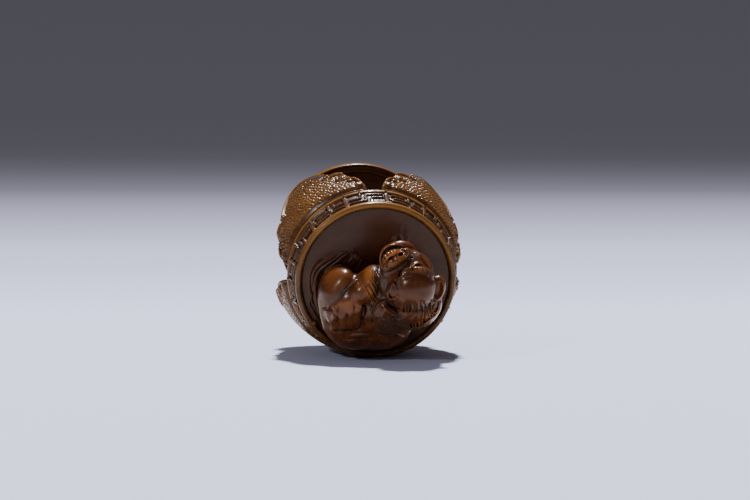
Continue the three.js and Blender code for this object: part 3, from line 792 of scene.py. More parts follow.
JAW_RIM = smooth_path([(-0.30, 4.1, 8.9), (-0.50, 5.3, 9.05), (-0.55, 6.5, 9.1), (-0.36, 7.35, 9.15), (0.12, 7.95, 9.15), (0.85, 8.28, 9.2), (1.65, 8.36, 9.2), (2.5, 8.2, 9.3), (3.25, 7.9, 9.4), (4.0, 7.5, 9.5), (4.75, 6.95, 9.7), (5.9, 5.95, 9.9), (6.75, 4.9, 10.1), (7.4, 4.0, 10.2)], 36)
TEETH = smooth_path([(-0.38, 5.75, 9.9), (-0.22, 6.4, 9.95), (0.1, 6.95, 10.0), (0.62, 7.4, 10.1), (1.2, 7.62, 10.2), (1.75, 7.7, 10.3), (2.25, 7.68, 10.4)], 8)
TAIL_LOCKS = [
    # plan points, radius at start and end
    ([(-5.0, 4.75), (-5.75, 4.44), (-6.53, 3.75), (-7.48, 3.0), (-8.27, 2.4), (-9.06, 1.73), (-9.53, 0.9), (-9.83, -0.25), (-9.97, -1.4)], 0.16, 0.28),
    ([(-5.7, 4.85), (-6.7, 4.15), (-7.81, 3.42), (-8.92, 2.72), (-9.71, 1.9), (-10.17, 0.8), (-10.25, -0.6)], 0.13, 0.22),
    ([(-4.7, 4.45), (-5.4, 3.95), (-6.2, 3.2), (-7.1, 2.5), (-8.0, 1.8)], 0.13, 0.24),
    ([(-9.3, 3.5), (-10.05, 2.6), (-10.6, 1.3), (-10.72, -0.2), (-10.62, -1.5), (-10.35, -2.7)], 0.12, 0.22),
    ([(-9.4, 0.2), (-9.7, -1.0), (-9.65, -2.4), (-9.4, -3.9), (-9.0, -5.2)], 0.24, 0.3),
    ([(-10.2, -2.0), (-10.4, -3.1), (-9.95, -4.0), (-9.5, -5.0)], 0.2, 0.1),
    ([(-10.65, -2.7), (-10.6, -4.0), (-10.1, -5.2), (-9.6, -6.0)], 0.2, 0.1),
    ([(-9.8, -2.7), (-9.35, -3.7), (-9.0, -4.8), (-8.7, -5.8)], 0.22, 0.12),
    ([(-10.3, -4.4), (-9.7, -5.6), (-8.9, -6.8), (-7.9, -7.9), (-7.2, -8.6)], 0.2, 0.12),
    ([(-9.7, -5.9), (-9.0, -7.0), (-8.1, -8.05), (-7.1, -9.1)], 0.22, 0.1),
    ([(-9.0, -5.2), (-8.5, -6.3), (-7.8, -7.2), (-7.0, -8.2)], 0.22, 0.14),
]
TUFTS = [((-2.75, 3.9), (-3.3, 3.2), (-3.8, 2.5)), ((-2.45, 3.3), (-2.75, 2.3), (-2.95, 1.6)), ((-3.75, 5.05), (-3.45, 4.8), (-3.2, 4.4)), ((-3.7, 3.8), (-4.0, 3.4), (-4.3, 3.0)), ((-3.2, 4.1), (-3.6, 3.3), (-4.1, 2.5)),
         ((3.6, 7.5), (3.85, 7.0), (4.05, 6.5)), ((4.85, 6.9), (4.8, 6.3), (4.75, 5.7)), ((5.6, 6.0), (5.65, 5.6), (5.7, 5.2)), ((2.75, 7.2), (2.6, 6.8), (2.4, 6.4))]


def animal(P, relief=True):
    c = Clay(P)
    for at, size, turn, k in MASSES:
        c.add(at, size, k, turn)
    # knee, and the hind foot running down beside the paw
    c.add((-5.85, 1.7, 5.9), (1.5, 1.9, 1.9), 0.9, -20)
    c.strand(smooth_path([(-8.3, -2.0, 4.5), (-8.05, -4.4, 4.1), (-7.1, -6.6, 3.6), (-5.4, -8.0, 3.2)], 10), 1.4, 1.1, 0.7)
    # lower jaw: a bowl with a raised lip; then the open mouth; then the upper jaw
    c.add((2.45, 5.8, 8.0), (3.1, 2.9, 1.5), 0.4, 36)
    c.strand(JAW_RIM, 0.25, 0.20, 0.25)
    c.cut(head(4.55, 0.6, 9.75), (2.75, 1.5, 0.62), 0.25, 36)
    c.add((1.55, 6.25, 11.0), (2.5, 1.5, 1.25), 0.35, 36)
    for i, p in enumerate(TEETH):
        c.add(p, (0.29, 0.29, 0.65), 0.03, 36)
    # nose: broad, two open nostrils, wings at the ends
    c.add(head(4.1, 0.2, 11.75), (2.3, 0.8, 0.72), 0.35, 36)
    c.add(head(4.35, 1.5, 12.0), (0.8, 0.8, 0.7), 0.3, 36)
    c.add(head(4.2, -0.55, 11.85), (0.8, 0.75, 0.65), 0.3, 36)
    c.add(head(4.05, -1.7, 11.45), (0.45, 0.55, 0.55), 0.25, 36)
    c.add(head(4.3, 2.5, 11.5), (0.55, 0.55, 0.55), 0.3, 36)
    # brows swell under their carved lines
    c.strand(smooth_path([(2.3, 4.6, 13.2), (3.2, 5.3, 13.3), (4.4, 5.5, 13.3), (5.5, 5.2, 13.2), (6.4, 4.4, 12.9)], 14), 0.55, 0.6, 0.5)
    c.add((0.75, 2.1, 12.7), (0.85, 1.15, 0.95), 0.35, -8)
    # toes: knuckles high, tips lower
    for x, y, h, r in ((-7.25, -1.75, 8.35, 0.66), (-6.1, -1.6, 8.75, 0.68), (-5.0, -1.15, 9.0, 0.70), (-3.95, -0.95, 8.9, 0.66)):
        c.strand(smooth_path([(x + 0.3, y + 0.1, h - 1.1), (x + 0.15, y - 0.6, h - 0.4), (x, y - 1.5, h - 0.3), (x + 0.02, -4.3, h - 1.15), (x + 0.05, -6.0, h - 2.5)], 14), r, r * 0.95, 0.34)
    # left ear, a leaf; right ear, a shell
    c.add((1.05, -1.85, 10.3), (1.55, 0.78, 1.05), 0.15, -27)
    c.add((8.05, 1.75, 10.6), (1.35, 2.15, 1.35), 0.2, -10)
    c.cut((8.2, 1.75, 11.9), (0.78, 1.6, 0.95), 0.18, -10)
    if relief:
        d = Drawn(c)
        d.patch((4.33, -2.17), (2.0, 0.75), 33, lambda u, v, Q: -0.22, 9.0, 0.2)
        d.patch((1.77, -4.33), (0.95, 2.0), 0, lambda u, v, Q: punched(Q, 0.5, 0.10, 41), 6.0)
        d.patch((2.89, -11.88), (3.0, 1.9), 8, lambda u, v, Q: punched(Q, 0.46, 0.13, 33), 1.5)
        d.patch((0.80, -10.59), (1.1, 1.6), 0, lambda u, v, Q: punched(Q, 0.46, 0.10, 35), 3.0)
        d.patch((-0.32, -6.10), (1.05, 3.3), 6, lambda u, v, Q: 0.09 * (np.abs(np.sin(math.pi * (u * 0.93 + v * 0.36 + 0.1 * np.sin(v * 2.0)) / 0.33)) ** 0.7 - 0.6), 5.0)
        for group in (BODY_LINES, HEAD_LINES, MANE_LINES, FUR_LINES):
            for pts, width, amp, z0, a0, a1 in group:
                d.line(pts, width, amp, z0, a0, a1)
        d.patch((3.05, -6.45), (0.85, 1.5), -8, lambda u, v, Q: 0.22, 8.0, 0.6)
        # nostrils
        d.line([(3.63, -1.06), (4.01, -1.12), (4.43, -1.00), (4.66, -0.64)], 0.26, 0.30, 9.0)
        d.line([(3.62, -0.85), (3.72, -0.42), (4.1, -0.2), (4.5, -0.32)], 0.22, 0.26, 9.0)
        d.line([(3.95, -0.72), (4.27, -0.62)], 0.24, -0.60, 9.0)
        d.line([(2.31, -1.49), (2.57, -1.25), (2.76, -1.16)], 0.22, -0.34, 9.0)
        d.done()
    # the bushy tail: low locks hugging the haunch, and small tufts on the disc
    ground = -DISC_DEPTH
    for pts, r0, r1 in TAIL_LOCKS:
        q = smooth_path([(x, y, 0) for x, y in pts], 3 * len(pts))
        q[:, 2] = ground - 0.07 + 0.07 * np.sin(np.linspace(0.3, math.pi - 0.3, len(q)))
        c.strand(q, 0.85 * r0, 0.85 * r1, 0.08)
    c.add((-9.7, -6.9, ground + 0.2), (0.36, 0.42, 0.42), 0.1)
    for pts in TUFTS:
        q = smooth_path([(x, y, ground - 0.03) for x, y in pts], 6)
        c.strand(q, 0.16, 0.09, 0.08)
    if relief:
        c.d += 0.03 * noise(P, 2.2, 3)
    return c.d


def field(P, relief=True):
    P = np.asarray(P, np.float32)
    z = P[:, 2]
    d = np.full(len(P), 9.0, np.float32)
    low = np.nonzero(z < 2.5)[0]
    d[low] = pedestal(P[low], relief)
    d = np.where(z >= 2.5, np.maximum(z, 2.5), d)
    up = np.nonzero((z > -2.2) & (np.abs(P[:, 0]) < 13.5) & (np.abs(P[:, 1]) < 13.5))[0]
    da = animal(P[up], relief)
    # the animal's masses are only wanted above the disc
    da = smax(da, -(z[up] + DISC_DEPTH + 0.3), 0.1)
    d[up] = smin(d[up], da, 0.3)
    i = np.nonzero(z < -FOOT_Z + CORD_DEPTH + 3)[0]
    if len(i):
        d[i] = smax(d[i], -(chain(P[i], cord_path, CORD_R, CORD_R)), 0.15)
    # worn flats where it lies on the table
    zw = P[:, 1] * SIN + z * COS + SHIFT_Z
    return np.maximum(d, -zw)


# ---- surface of the field ------------------------------------------------------------
LO = np.array([-16.3, -16.3, -30.2], np.float32)
HI = np.array([16.3, 16.3, 16.6], np.float32)


def surface(h):
    B = 6
    n = (np.ceil((HI - LO) / h / B).astype(int) + 1) * B
    nb = n // B
    ci, cj, ck = np.meshgrid(*[np.arange(m) for m in nb], indexing="ij")
    C = LO + (np.stack([ci, cj, ck], -1).reshape(-1, 3) * B + (B - 1) / 2) * h
    C = C.astype(np.float32)
    dc = field(C, relief=False)
    keep = np.abs(dc) < B * h * 0.87 + 0.55
    say("blocks", keep.sum(), "of", len(keep), "grid", n)
    D = np.where(dc < 0, -9.0, 9.0).astype(np.float32).reshape(nb)
    D = np.repeat(np.repeat(np.repeat(D, B, 0), B, 1), B, 2)
    off = np.stack(np.meshgrid(*[np.arange(B)] * 3, indexing="ij"), -1).reshape(-1, 3)
    blocks = np.stack([ci, cj, ck], -1).reshape(-1, 3)[keep] * B
    for a in range(0, len(blocks), 2400):
        g = (blocks[a:a + 2400, None, :] + off[None]).reshape(-1, 3)
        v = field((LO + g * h).astype(np.float32))
        D[g[:, 0], g[:, 1], g[:, 2]] = v
    say("field")
    S = D < 0
    n = np.array(D.shape)
    active = np.zeros(n, bool)
    edges = []
    for ax in range(3):
        sl0 = [slice(None)] * 3
        sl1 = [slice(None)] * 3
        sl0[ax], sl1[ax] = slice(0, -1), slice(1, None)
        idx = np.argwhere(S[tuple(sl0)] != S[tuple(sl1)])
        o1, o2 = [(1, 2), (2, 0), (0, 1)][ax]
        ok = (idx[:, o1] > 0) & (idx[:, o2] > 0)
        idx = idx[ok]
        e = np.zeros(3, int)
        e[ax] = 1
        j = idx + e
        d0, d1 = D[idx[:, 0], idx[:, 1], idx[:, 2]], D[j[:, 0], j[:, 1], j[:, 2]]
        t = d0 / (d0 - d1)
        p = idx.astype(np.float32)
        p[:, ax] += t
        cells = []
        for (a, b) in ((0, 0), (1, 0), (1, 1), (0, 1)):
            q = idx.copy()
            q[:, o1] -= a
            q[:, o2] -= b
            cells.append((q[:, 0] * n[1] + q[:, 1]) * n[2] + q[:, 2])
        edges.append((p, np.stack(cells, 1), d0 < 0))
        active.reshape(-1)[np.stack(cells, 1).ravel()] = True
    flat = np.nonzero(active.reshape(-1))[0]
    ids = np.zeros(active.size, np.int32)
    ids[flat] = np.arange(len(flat))
    V = np.zeros((len(flat), 3))
    W = np.zeros(len(flat))
    faces = []
    for p, cells, neg in edges:
        v = ids[cells]
        for k in range(4):
            W += np.bincount(v[:, k], minlength=len(flat))
            for a in range(3):
                V[:, a] += np.bincount(v[:, k], weights=p[:, a], minlength=len(flat))
        faces.append(np.where(neg[:, None], v, v[:, ::-1]))
    V = (V / W[:, None] * h + LO).astype(np.float32)
    F = np.concatenate(faces)
    say("surface nets", len(V), len(F))
    return V, F


def gradient(V, eps=0.05):
    g = np.empty((len(V), 3), np.float32)
    for a in range(3):
        o = np.zeros(3, np.float32)
        o[a] = eps
        g[:, a] = (field(V + o) - field(V - o)) / (2 * eps)
    return g


def on_surface(V, rounds=1, cap=0.08):
    for _ in range(rounds):
        g = gradient(V)
        d = field(V)
        n2 = np.maximum((g * g).sum(1), 0.25)
        move = -(d / n2)[:, None] * g
        L = np.linalg.norm(move, axis=1, keepdims=True)
        move *= np.minimum(1, cap / np.maximum(L, 1e-9))
        V = V + move
    return V


VOX = 0.125
TARGET = 196000
V, F = surface(VOX)
V = on_surface(V, 1)
say("projected")

mesh = bpy.data.meshes.new("netsuke_carving")
mesh.vertices.add(len(V))
mesh.vertices.foreach_set("co", to_world(V).ravel())
mesh.loops.add(len(F) * 4)
mesh.loops.foreach_set("vertex_index", F.ravel().astype(np.int32))
mesh.polygons.add(len(F))
mesh.polygons.foreach_set("loop_start", np.arange(0, len(F) * 4, 4, dtype=np.int32))
mesh.polygons.foreach_set("loop_total", np.full(len(F), 4, np.int32))
mesh.update(calc_edges=True)
mesh.validate()
carving = bpy.data.objects.new("netsuke_carving", mesh)
bpy.context.scene.collection.objects.link(carving)
tri = len(F) * 2
if tri > TARGET:
    m = carving.modifiers.new("thin", "DECIMATE")
    m.ratio = TARGET / tri
    dg = bpy.context.evaluated_depsgraph_get()
    thin = bpy.data.meshes.new_from_object(carving.evaluated_get(dg))
    carving.modifiers.clear()
    carving.data = thin
    bpy.data.meshes.remove(mesh)
    mesh = thin
    mesh.name = "netsuke_carving"
say("thinned to", len(mesh.polygons), "faces", len(mesh.vertices), "vertices")

# settle the thinned points back on the field, and read normals and wear from it
W = np.empty(len(mesh.vertices) * 3, np.float32)
mesh.vertices.foreach_get("co", W)
W = W.reshape(-1, 3) * 1000 - SHIFT
U = np.empty_like(W)
U[:, 0] = W[:, 0]
U[:, 1] = W[:, 1] * COS + W[:, 2] * SIN
U[:, 2] = -W[:, 1] * SIN + W[:, 2] * COS
U = on_surface(U, 1, 0.04)
g = gradient(U, 0.045)
N = g / np.maximum(np.linalg.norm(g, axis=1, keepdims=True), 1e-6)
base = (U[:, 2] < -29.5) & (np.hypot(U[:, 0], U[:, 1]) < 12.95)          # the flat underside of the foot
N[base] = (0, 0, -1)
mesh.vertices.foreach_set("co", to_world(U).ravel())
NW = np.empty_like(N)
NW[:, 0] = N[:, 0]
NW[:, 1] = N[:, 1] * COS - N[:, 2] * SIN
NW[:, 2] = N[:, 1] * SIN + N[:, 2] * COS
mesh.update()
mesh.polygons.foreach_set("use_smooth", np.ones(len(mesh.polygons), bool))
mesh.normals_split_custom_set_from_vertices([tuple(v) for v in NW])

open_ = np.zeros(len(U), np.float32)
for t, w in ((0.25, 0.3), (0.6, 0.3), (1.3, 0.25), (2.6, 0.15)):
    open_ += w * np.clip(field(U + N * t) / t, -0.2, 1)
ridge = np.zeros(len(U), np.float32)
for t, w in ((0.18, 0.4), (0.45, 0.35), (1.0, 0.25)):
    ridge += w * np.clip(1 + field(U - N * t) / t, 0, 1)


def stained(U):
    """How much dark stain each part of the ground was given, 0 to 1."""
    r, s = np.hypot(U[:, 0], U[:, 1]), -U[:, 2]
    deg = np.degrees(np.arctan2(U[:, 0], U[:, 1]))
    a = np.abs((deg % 90.0) - 45.0)
    out = np.zeros(len(U), np.float32)
    # the channel behind the fret
    band = step(BAND_FRONT - 0.15, BAND_FRONT + 0.05, s) * step(BAND_BACK + 0.15, BAND_BACK - 0.05, s)
    out = np.maximum(out, band * step(cone(s) - 0.10, cone(s) - 0.24, r))
    # the disc
    out = np.maximum(out, 0.72 * step(11.98, 11.85, r) * step(DISC_DEPTH - 0.35, DISC_DEPTH - 0.1, s) * step(2.0, 1.0, s))
    # the tail lies in the stain, and a patch of the ruff, drawn as seen from in front, is darkened too
    out = np.maximum(out, 0.45 * step(0.6, 0.2, U[:, 2]) * step(12.0, 11.8, r) * step(2.0, 1.0, s))
    u, v = seen(U)
    rough = step(1.0, 0.6, np.hypot((u - 2.9) / 3.4, (v + 11.9) / 2.3)) * step(0.8, 1.6, U[:, 2])
    out = np.maximum(out, 0.2 * rough)
    # the core behind and between the flaps, and the front of the foot
    front = curve1(FLAP_FACE, s)
    end = np.interp(a, np.arange(0, 45.01, 0.25), ends_soft)
    behind = np.maximum(step(front - 0.5, front - 1.2, r), step(end - 0.1, end + 0.25, s))
    out = np.maximum(out, 0.9 * behind * step(FLAP_START - 0.1, FLAP_START + 0.3, s) * step(FOOT_FACE + 0.35, FOOT_FACE, s))
    return out


# places on the figure as seen from in front: centre, half sizes, turn, amount. The first table is golden handling wear
# with painted highlights laid on it, on the neck fur, shoulder, knuckles, haunch top, muzzle, brow and the mane and ear
# rims; the second is painted shade.
WEAR_AND_HIGHLIGHT_SPOTS = [((-0.64, -5.46), (1.2, 3.3), 8, 0.95), ((9.3, -10.6), (1.6, 2.6), -35, 0.6), ((10.6, -6.3), (0.9, 2.4), 0, 0.5),
                ((2.57, -0.32), (2.2, 1.5), 35, 0.55), ((4.2, -0.64), (1.0, 0.9), 0, 0.6), ((2.9, -1.9), (1.6, 0.7), 20, 0.45),
                ((6.4, -2.9), (2.2, 0.7), -15, 0.4), ((-6.5, -4.4), (2.4, 2.2), 30, 0.30), ((-4.0, -9.15), (2.4, 1.2), 0, 0.5),
                ((-2.1, -5.9), (1.2, 1.2), 0, 0.5)]
# painted shade: darker patches in the grooves, the valley behind the nose and the mane, and a painted reflection on the
# haunch's shaded side
SHADE_PATCH_SPOTS = [((1.44, -5.3), (1.0, 2.6), 0, 0.8), ((5.45, -1.77), (2.1, 0.65), 30, 0.7), ((3.7, -5.9), (0.45, 1.6), 0, 0.6),
               ((-0.16, -9.95), (1.1, 2.0), 0, 0.45), ((2.9, -11.9), (3.1, 2.0), 0, 0.85), ((6.9, -9.3), (3.2, 1.0), -5, 0.6),
               ((-5.46, -6.9), (2.6, 0.8), 45, 0.7), ((5.94, -3.85), (1.6, 0.5), -30, 0.4), ((8.5, -3.5), (1.5, 0.8), -45, 0.4)]


def spots(U, table):
    u, v = seen(U)
    out = np.zeros(len(U), np.float32)
    for at, size, turn, amount in table:
        a = math.radians(turn)
        x, y = u - at[0], v - at[1]
        d = np.hypot((x * math.cos(a) + y * math.sin(a)) / size[0], (y * math.cos(a) - x * math.sin(a)) / size[1])
        out = np.maximum(out, amount * step(1.15, 0.45, d))
    return out * step(0.6, 1.4, U[:, 2]) * step(12.2, 12.0, np.hypot(U[:, 0], U[:, 1]))


def golden_wear_and_toplight(U):
    """How far each part shows golden wood, 0 to 1: handling wear on the ring, foot and flap borders, and on the rim
    bead a painted lighter top, where the light from above falls.
    """
    r, s = np.hypot(U[:, 0], U[:, 1]), -U[:, 2]
    deg = np.degrees(np.arctan2(U[:, 0], U[:, 1]))
    a = (deg % 90.0) - 45.0
    high = 0.12 + 0.88 * step(-0.35, 0.95, U[:, 1] / np.maximum(r, 1e-6))                            # painted light: the bead is painted lighter toward the top, where the light from above falls
    out = 0.75 * high * step(12.0, 12.35, r) * step(0.95, 0.7, s) * step(-0.3, -0.1, s)              # rim bead
    out = np.maximum(out, 0.9 * bump(s - 4.85, 0.55) * step(13.72, 13.88, r))                        # ring
    out = np.maximum(out, 0.9 * step(13.2, 13.35, r) * step(27.4, 27.6, s) * step(29.0, 28.4, s))    # foot
    out = np.maximum(out, 0.9 * step(12.1, 12.2, r) * step(12.65, 12.55, r) * step(26.9, 27.1, s) * step(27.8, 27.6, s))
    near = (s > 5.4) & (s < 22) & (r > 13.3)
    i = np.nonzero(near)[0]
    e = -flap_edge(np.abs(np.radians(a[i]) * ARC_R), s[i])
    face = step(curve1(FLAP_FACE, s[i]) - 0.7, curve1(FLAP_FACE, s[i]) - 0.2, r[i])
    out[i] = np.maximum(out[i], face * (0.85 * bump(e - 0.22, 0.34) * step(6.0, 6.6, s[i]) + 0.28 * step(6.3, 7.0, s[i])))
    return out


open_[base] = np.median(open_[base])
ridge[base] = np.median(ridge[base])
stain = stained(U)
# golden handling wear together with painted highlights: highlight spots on the figure and the rim bead painted lighter
# toward the top
wear_and_highlight = np.maximum(golden_wear_and_toplight(U), spots(U, WEAR_AND_HIGHLIGHT_SPOTS) * (0.45 + 0.55 * np.clip(open_, 0, 1)))
# painted shade patches on the figure, also made a little rougher
shade_patches = spots(U, SHADE_PATCH_SPOTS)
figure = step(-0.75, -0.45, U[:, 2]) * step(12.0, 11.8, np.hypot(U[:, 0], U[:, 1]))
for name, val in (("open", open_), ("ridge", ridge), ("stain", stain), ("wear_and_highlight", wear_and_highlight), ("figure", figure), ("shade_patches", shade_patches)):
    at = mesh.attributes.new(name, "FLOAT", "POINT")
    at.data.foreach_set("value", val.astype(np.float32))
say("wear", [round(float(np.percentile(open_, q)), 3) for q in (2, 10, 25, 50, 75, 90, 98)], [round(float(np.percentile(ridge, q)), 3) for q in (2, 10, 25, 50, 75, 90, 98)])

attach(carving, "root")
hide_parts("netsuke")


# =============================================================================
# Finish: stained, polished boxwood
# =============================================================================
WOOD = ((0.052, 0.019, 0.004), (0.082, 0.031, 0.007), (0.118, 0.048, 0.012))
GOLD_WEAR_AND_HIGHLIGHT = (0.25, 0.108, 0.020)
STAIN = (0.036, 0.0075, 0.0012)
DEEP = (0.005, 0.0025, 0.0018)
SHADE_PATCH_TONE = (0.038, 0.022, 0.013)
RUB_STOPS = [(0.30, (0, 0, 0)), (0.70, (1, 1, 1))]
DARK_STOPS = [(0.22, (1, 1, 1)), (0.80, (0, 0, 0))]


def boxwood():
    mat = bpy.data.materials.new("boxwood")
    mat.use_nodes = True
    nt = mat.node_tree
    nt.nodes.clear()
    n = nt.nodes.new
    L = nt.links.new
    out = n("ShaderNodeOutputMaterial")
    bs = n("ShaderNodeBsdfPrincipled")
    L(bs.outputs[0], out.inputs[0])
    tc = n("ShaderNodeTexCoord")
    op = n("ShaderNodeAttribute"); op.attribute_name = "open"
    rd = n("ShaderNodeAttribute"); rd.attribute_name = "ridge"

    def ramp(src, stops, mode="LINEAR"):
        r = n("ShaderNodeValToRGB")
        r.color_ramp.interpolation = mode
        while len(r.color_ramp.elements) < len(stops):
            r.color_ramp.elements.new(0.5)
        for e, (p, c) in zip(r.color_ramp.elements, stops):
            e.position = p
            e.color = (*c, 1) if len(c) == 3 else c
        L(src, r.inputs[0])
        return r

    def math_(op_, a, b=None, clamp=False):
        m = n("ShaderNodeMath")
        m.operation = op_
        m.use_clamp = clamp
        for k, v in enumerate((a, b)):
            if v is None:
                continue
            if isinstance(v, (int, float)):
                m.inputs[k].default_value = v
            else:
                L(v, m.inputs[k])
        return m.outputs[0]

    def mixc(fac, a, b, blend="MIX"):
        m = n("ShaderNodeMix")
        m.data_type = "RGBA"
        m.blend_type = blend
        for k, v in ((0, fac), (6, a), (7, b)):
            if isinstance(v, (int, float)):
                m.inputs[k].default_value = v
            elif isinstance(v, tuple):
                m.inputs[k].default_value = (*v, 1)
            else:
                L(v, m.inputs[k])
        return m.outputs[2]

    # grain runs along the axis of the pedestal: a turned, stretched coordinate
    mp = n("ShaderNodeMapping")
    mp.inputs["Rotation"].default_value = (math.radians(-LIE), 0, 0)
    mp.inputs["Scale"].default_value = (1, 0.16, 1)
    L(tc.outputs["Object"], mp.inputs[0])
    grain = n("ShaderNodeTexNoise")
    grain.inputs["Scale"].default_value = 900
    grain.inputs["Detail"].default_value = 5
    grain.inputs["Roughness"].default_value = 0.62
    L(mp.outputs[0], grain.inputs[0])
    rings = n("ShaderNodeTexWave")
    rings.wave_type = "RINGS"
    rings.rings_direction = "Y"
    rings.inputs["Scale"].default_value = 120
    rings.inputs["Distortion"].default_value = 3.5
    rings.inputs["Detail"].default_value = 2.5
    rings.inputs["Detail Scale"].default_value = 1.6
    L(mp.outputs[0], rings.inputs[0])
    cloud = n("ShaderNodeTexNoise")
    cloud.inputs["Scale"].default_value = 170
    cloud.inputs["Detail"].default_value = 4
    L(tc.outputs["Object"], cloud.inputs[0])
    speck = n("ShaderNodeTexNoise")
    speck.inputs["Scale"].default_value = 2600
    speck.inputs["Detail"].default_value = 2
    L(tc.outputs["Object"], speck.inputs[0])

    stn = n("ShaderNodeAttribute"); stn.attribute_name = "stain"
    wear_hl_attr = n("ShaderNodeAttribute"); wear_hl_attr.attribute_name = "wear_and_highlight"
    fig = n("ShaderNodeAttribute"); fig.attribute_name = "figure"
    shade_patch_attr = n("ShaderNodeAttribute"); shade_patch_attr.attribute_name = "shade_patches"
    wood = ramp(grain.outputs[0], [(0.28, WOOD[0]), (0.50, WOOD[1]), (0.74, WOOD[2])])
    ringc = ramp(rings.outputs["Fac"], [(0.0, (0.80, 0.78, 0.76)), (1.0, (1.08, 1.08, 1.08))])
    c = mixc(1.0, wood.outputs[0], ringc.outputs[0], "MULTIPLY")
    tone = ramp(cloud.outputs[0], [(0.32, (0.70, 0.64, 0.60)), (0.62, (1.10, 1.10, 1.10))])
    c = mixc(1.0, c, tone.outputs[0], "MULTIPLY")
    # rubbed ridges are golden
    rub = ramp(rd.outputs["Fac"], RUB_STOPS)
    rubn = math_("MULTIPLY", rub.outputs[0], math_("ADD", math_("MULTIPLY", cloud.outputs[0], 0.9), 0.35), True)
    c = mixc(math_("MULTIPLY", rubn, 0.45), c, GOLD_WEAR_AND_HIGHLIGHT)
    # handling wear and painted highlights, mixed in as golden wood
    wear_hl_amount = math_("MULTIPLY", wear_hl_attr.outputs["Fac"], math_("ADD", math_("MULTIPLY", cloud.outputs[0], 0.9), 0.45), True)
    c = mixc(wear_hl_amount, c, GOLD_WEAR_AND_HIGHLIGHT)
    # the figure is redder than the cloth
    c = mixc(math_("MULTIPLY", fig.outputs["Fac"], 0.9), c, (1.0, 0.68, 0.54), "MULTIPLY")
    # painted shade: darker patches in grooves, the nose valley and the mane, and a painted reflection on the haunch's
    # shaded side
    c = mixc(math_("MULTIPLY", shade_patch_attr.outputs["Fac"], math_("ADD", math_("MULTIPLY", cloud.outputs[0], 0.8), 0.45), True), c, SHADE_PATCH_TONE)
    # dark stain on the grounds, old polish in the hollows
    c = mixc(math_("MULTIPLY", stn.outputs["Fac"], 0.97), c, STAIN)
    dark = ramp(op.outputs["Fac"], DARK_STOPS)
    c = mixc(math_("MULTIPLY", dark.outputs[0], 0.95), c, DEEP)
    dust = ramp(speck.outputs[0], [(0.70, (0, 0, 0)), (0.76, (1, 1, 1))])
    c = mixc(math_("MULTIPLY", dust.outputs[0], 0.06), c, (0.35, 0.30, 0.24))
    L(c, bs.inputs["Base Color"])

    rough = math_("ADD", math_("MULTIPLY", dark.outputs[0], 0.14), 0.27)
    rough = math_("ADD", rough, math_("MULTIPLY", stn.outputs["Fac"], 0.13))
    rough = math_("ADD", rough, math_("MULTIPLY", shade_patch_attr.outputs["Fac"], 0.10))
    rough = math_("ADD", rough, math_("MULTIPLY", math_("SUBTRACT", grain.outputs[0], 0.5), 0.14))
    rough = math_("ADD", rough, math_("MULTIPLY", math_("SUBTRACT", cloud.outputs[0], 0.5), 0.12), True)
    L(rough, bs.inputs["Roughness"])
    bs.inputs["IOR"].default_value = 1.35
    bs.inputs["Coat Weight"].default_value = 0.08
    bs.inputs["Coat Roughness"].default_value = 0.12
    bs.inputs["Specular IOR Level"].default_value = 0.5

    bump_ = n("ShaderNodeBump")
    bump_.inputs["Strength"].default_value = 0.3
    bump_.inputs["Distance"].default_value = 0.00006
    hsum = math_("ADD", math_("MULTIPLY", grain.outputs[0], 0.7), math_("MULTIPLY", speck.outputs[0], 0.4))
    L(hsum, bump_.inputs["Height"])
    L(bump_.outputs[0], bs.inputs["Normal"])
    return mat


mesh.materials.clear()
mesh.materials.append(boxwood())


# =============================================================================
# Table, backdrop, light and camera
# =============================================================================
# camera: where the carving was looked at from above
FOCAL_PX = 1700.0
disc = Vector((0, SHIFT_Y, SHIFT_Z)) / 1000.0          # the disc centre, row frame
cam_data = bpy.data.cameras.new("camera")
cam = bpy.data.objects.new("camera", cam_data)
bpy.context.scene.collection.objects.link(cam)
bpy.context.scene.camera = cam
cam_data.sensor_width = 36.0
cam_data.sensor_fit = "HORIZONTAL"
cam_data.lens = 36.0 * FOCAL_PX / 750.0
cam_data.dof.use_dof = False
cam_data.clip_start = 0.01
cam_data.clip_end = 50
cam.location = disc + Vector(eye) / 1000.0
rx, uy, w = Vector(look_x), Vector(look_y), Vector(look_w)
cam.rotation_euler = Matrix((rx, uy, w)).transposed().to_euler()


WALL_Y = 0.75                   # the backdrop stands this far behind the carving
# painted light: the backdrop glows with a painted tone at each picture row, darker toward the top, and the far floor
# glows with a painted tone that falls with distance behind the carving
wall_glow_rows = [(0, (0.079, 0.077, 0.095)), (120, (0.084, 0.082, 0.100)), (145, (0.088, 0.086, 0.105)), (158, (0.100, 0.097, 0.121)), (170, (0.134, 0.129, 0.164)), (180, (0.183, 0.177, 0.225)), (190, (0.245, 0.237, 0.305)), (200, (0.381, 0.376, 0.49)), (210, (0.518, 0.497, 0.687)), (220, (0.62, 0.61, 0.83)), (235, (0.79, 0.81, 1.10)), (250, (0.95, 1.01, 1.38))]
floor_glow_tones = [(0.17, (1.28, 1.38, 1.95)), (0.29, (1.175, 1.254, 1.753)), (0.43, (1.078, 1.11, 1.52)), (0.75, (0.95, 1.01, 1.38))]


def row_height(row):
    ray = -w + uy * ((250.0 - row) / FOCAL_PX)
    t = (WALL_Y - cam.location.y) / ray.y
    return cam.location.z + ray.z * t


def plain(name, build):
    m = bpy.data.materials.new(name)
    m.use_nodes = True
    m.node_tree.nodes.clear()
    build(m.node_tree)
    return m


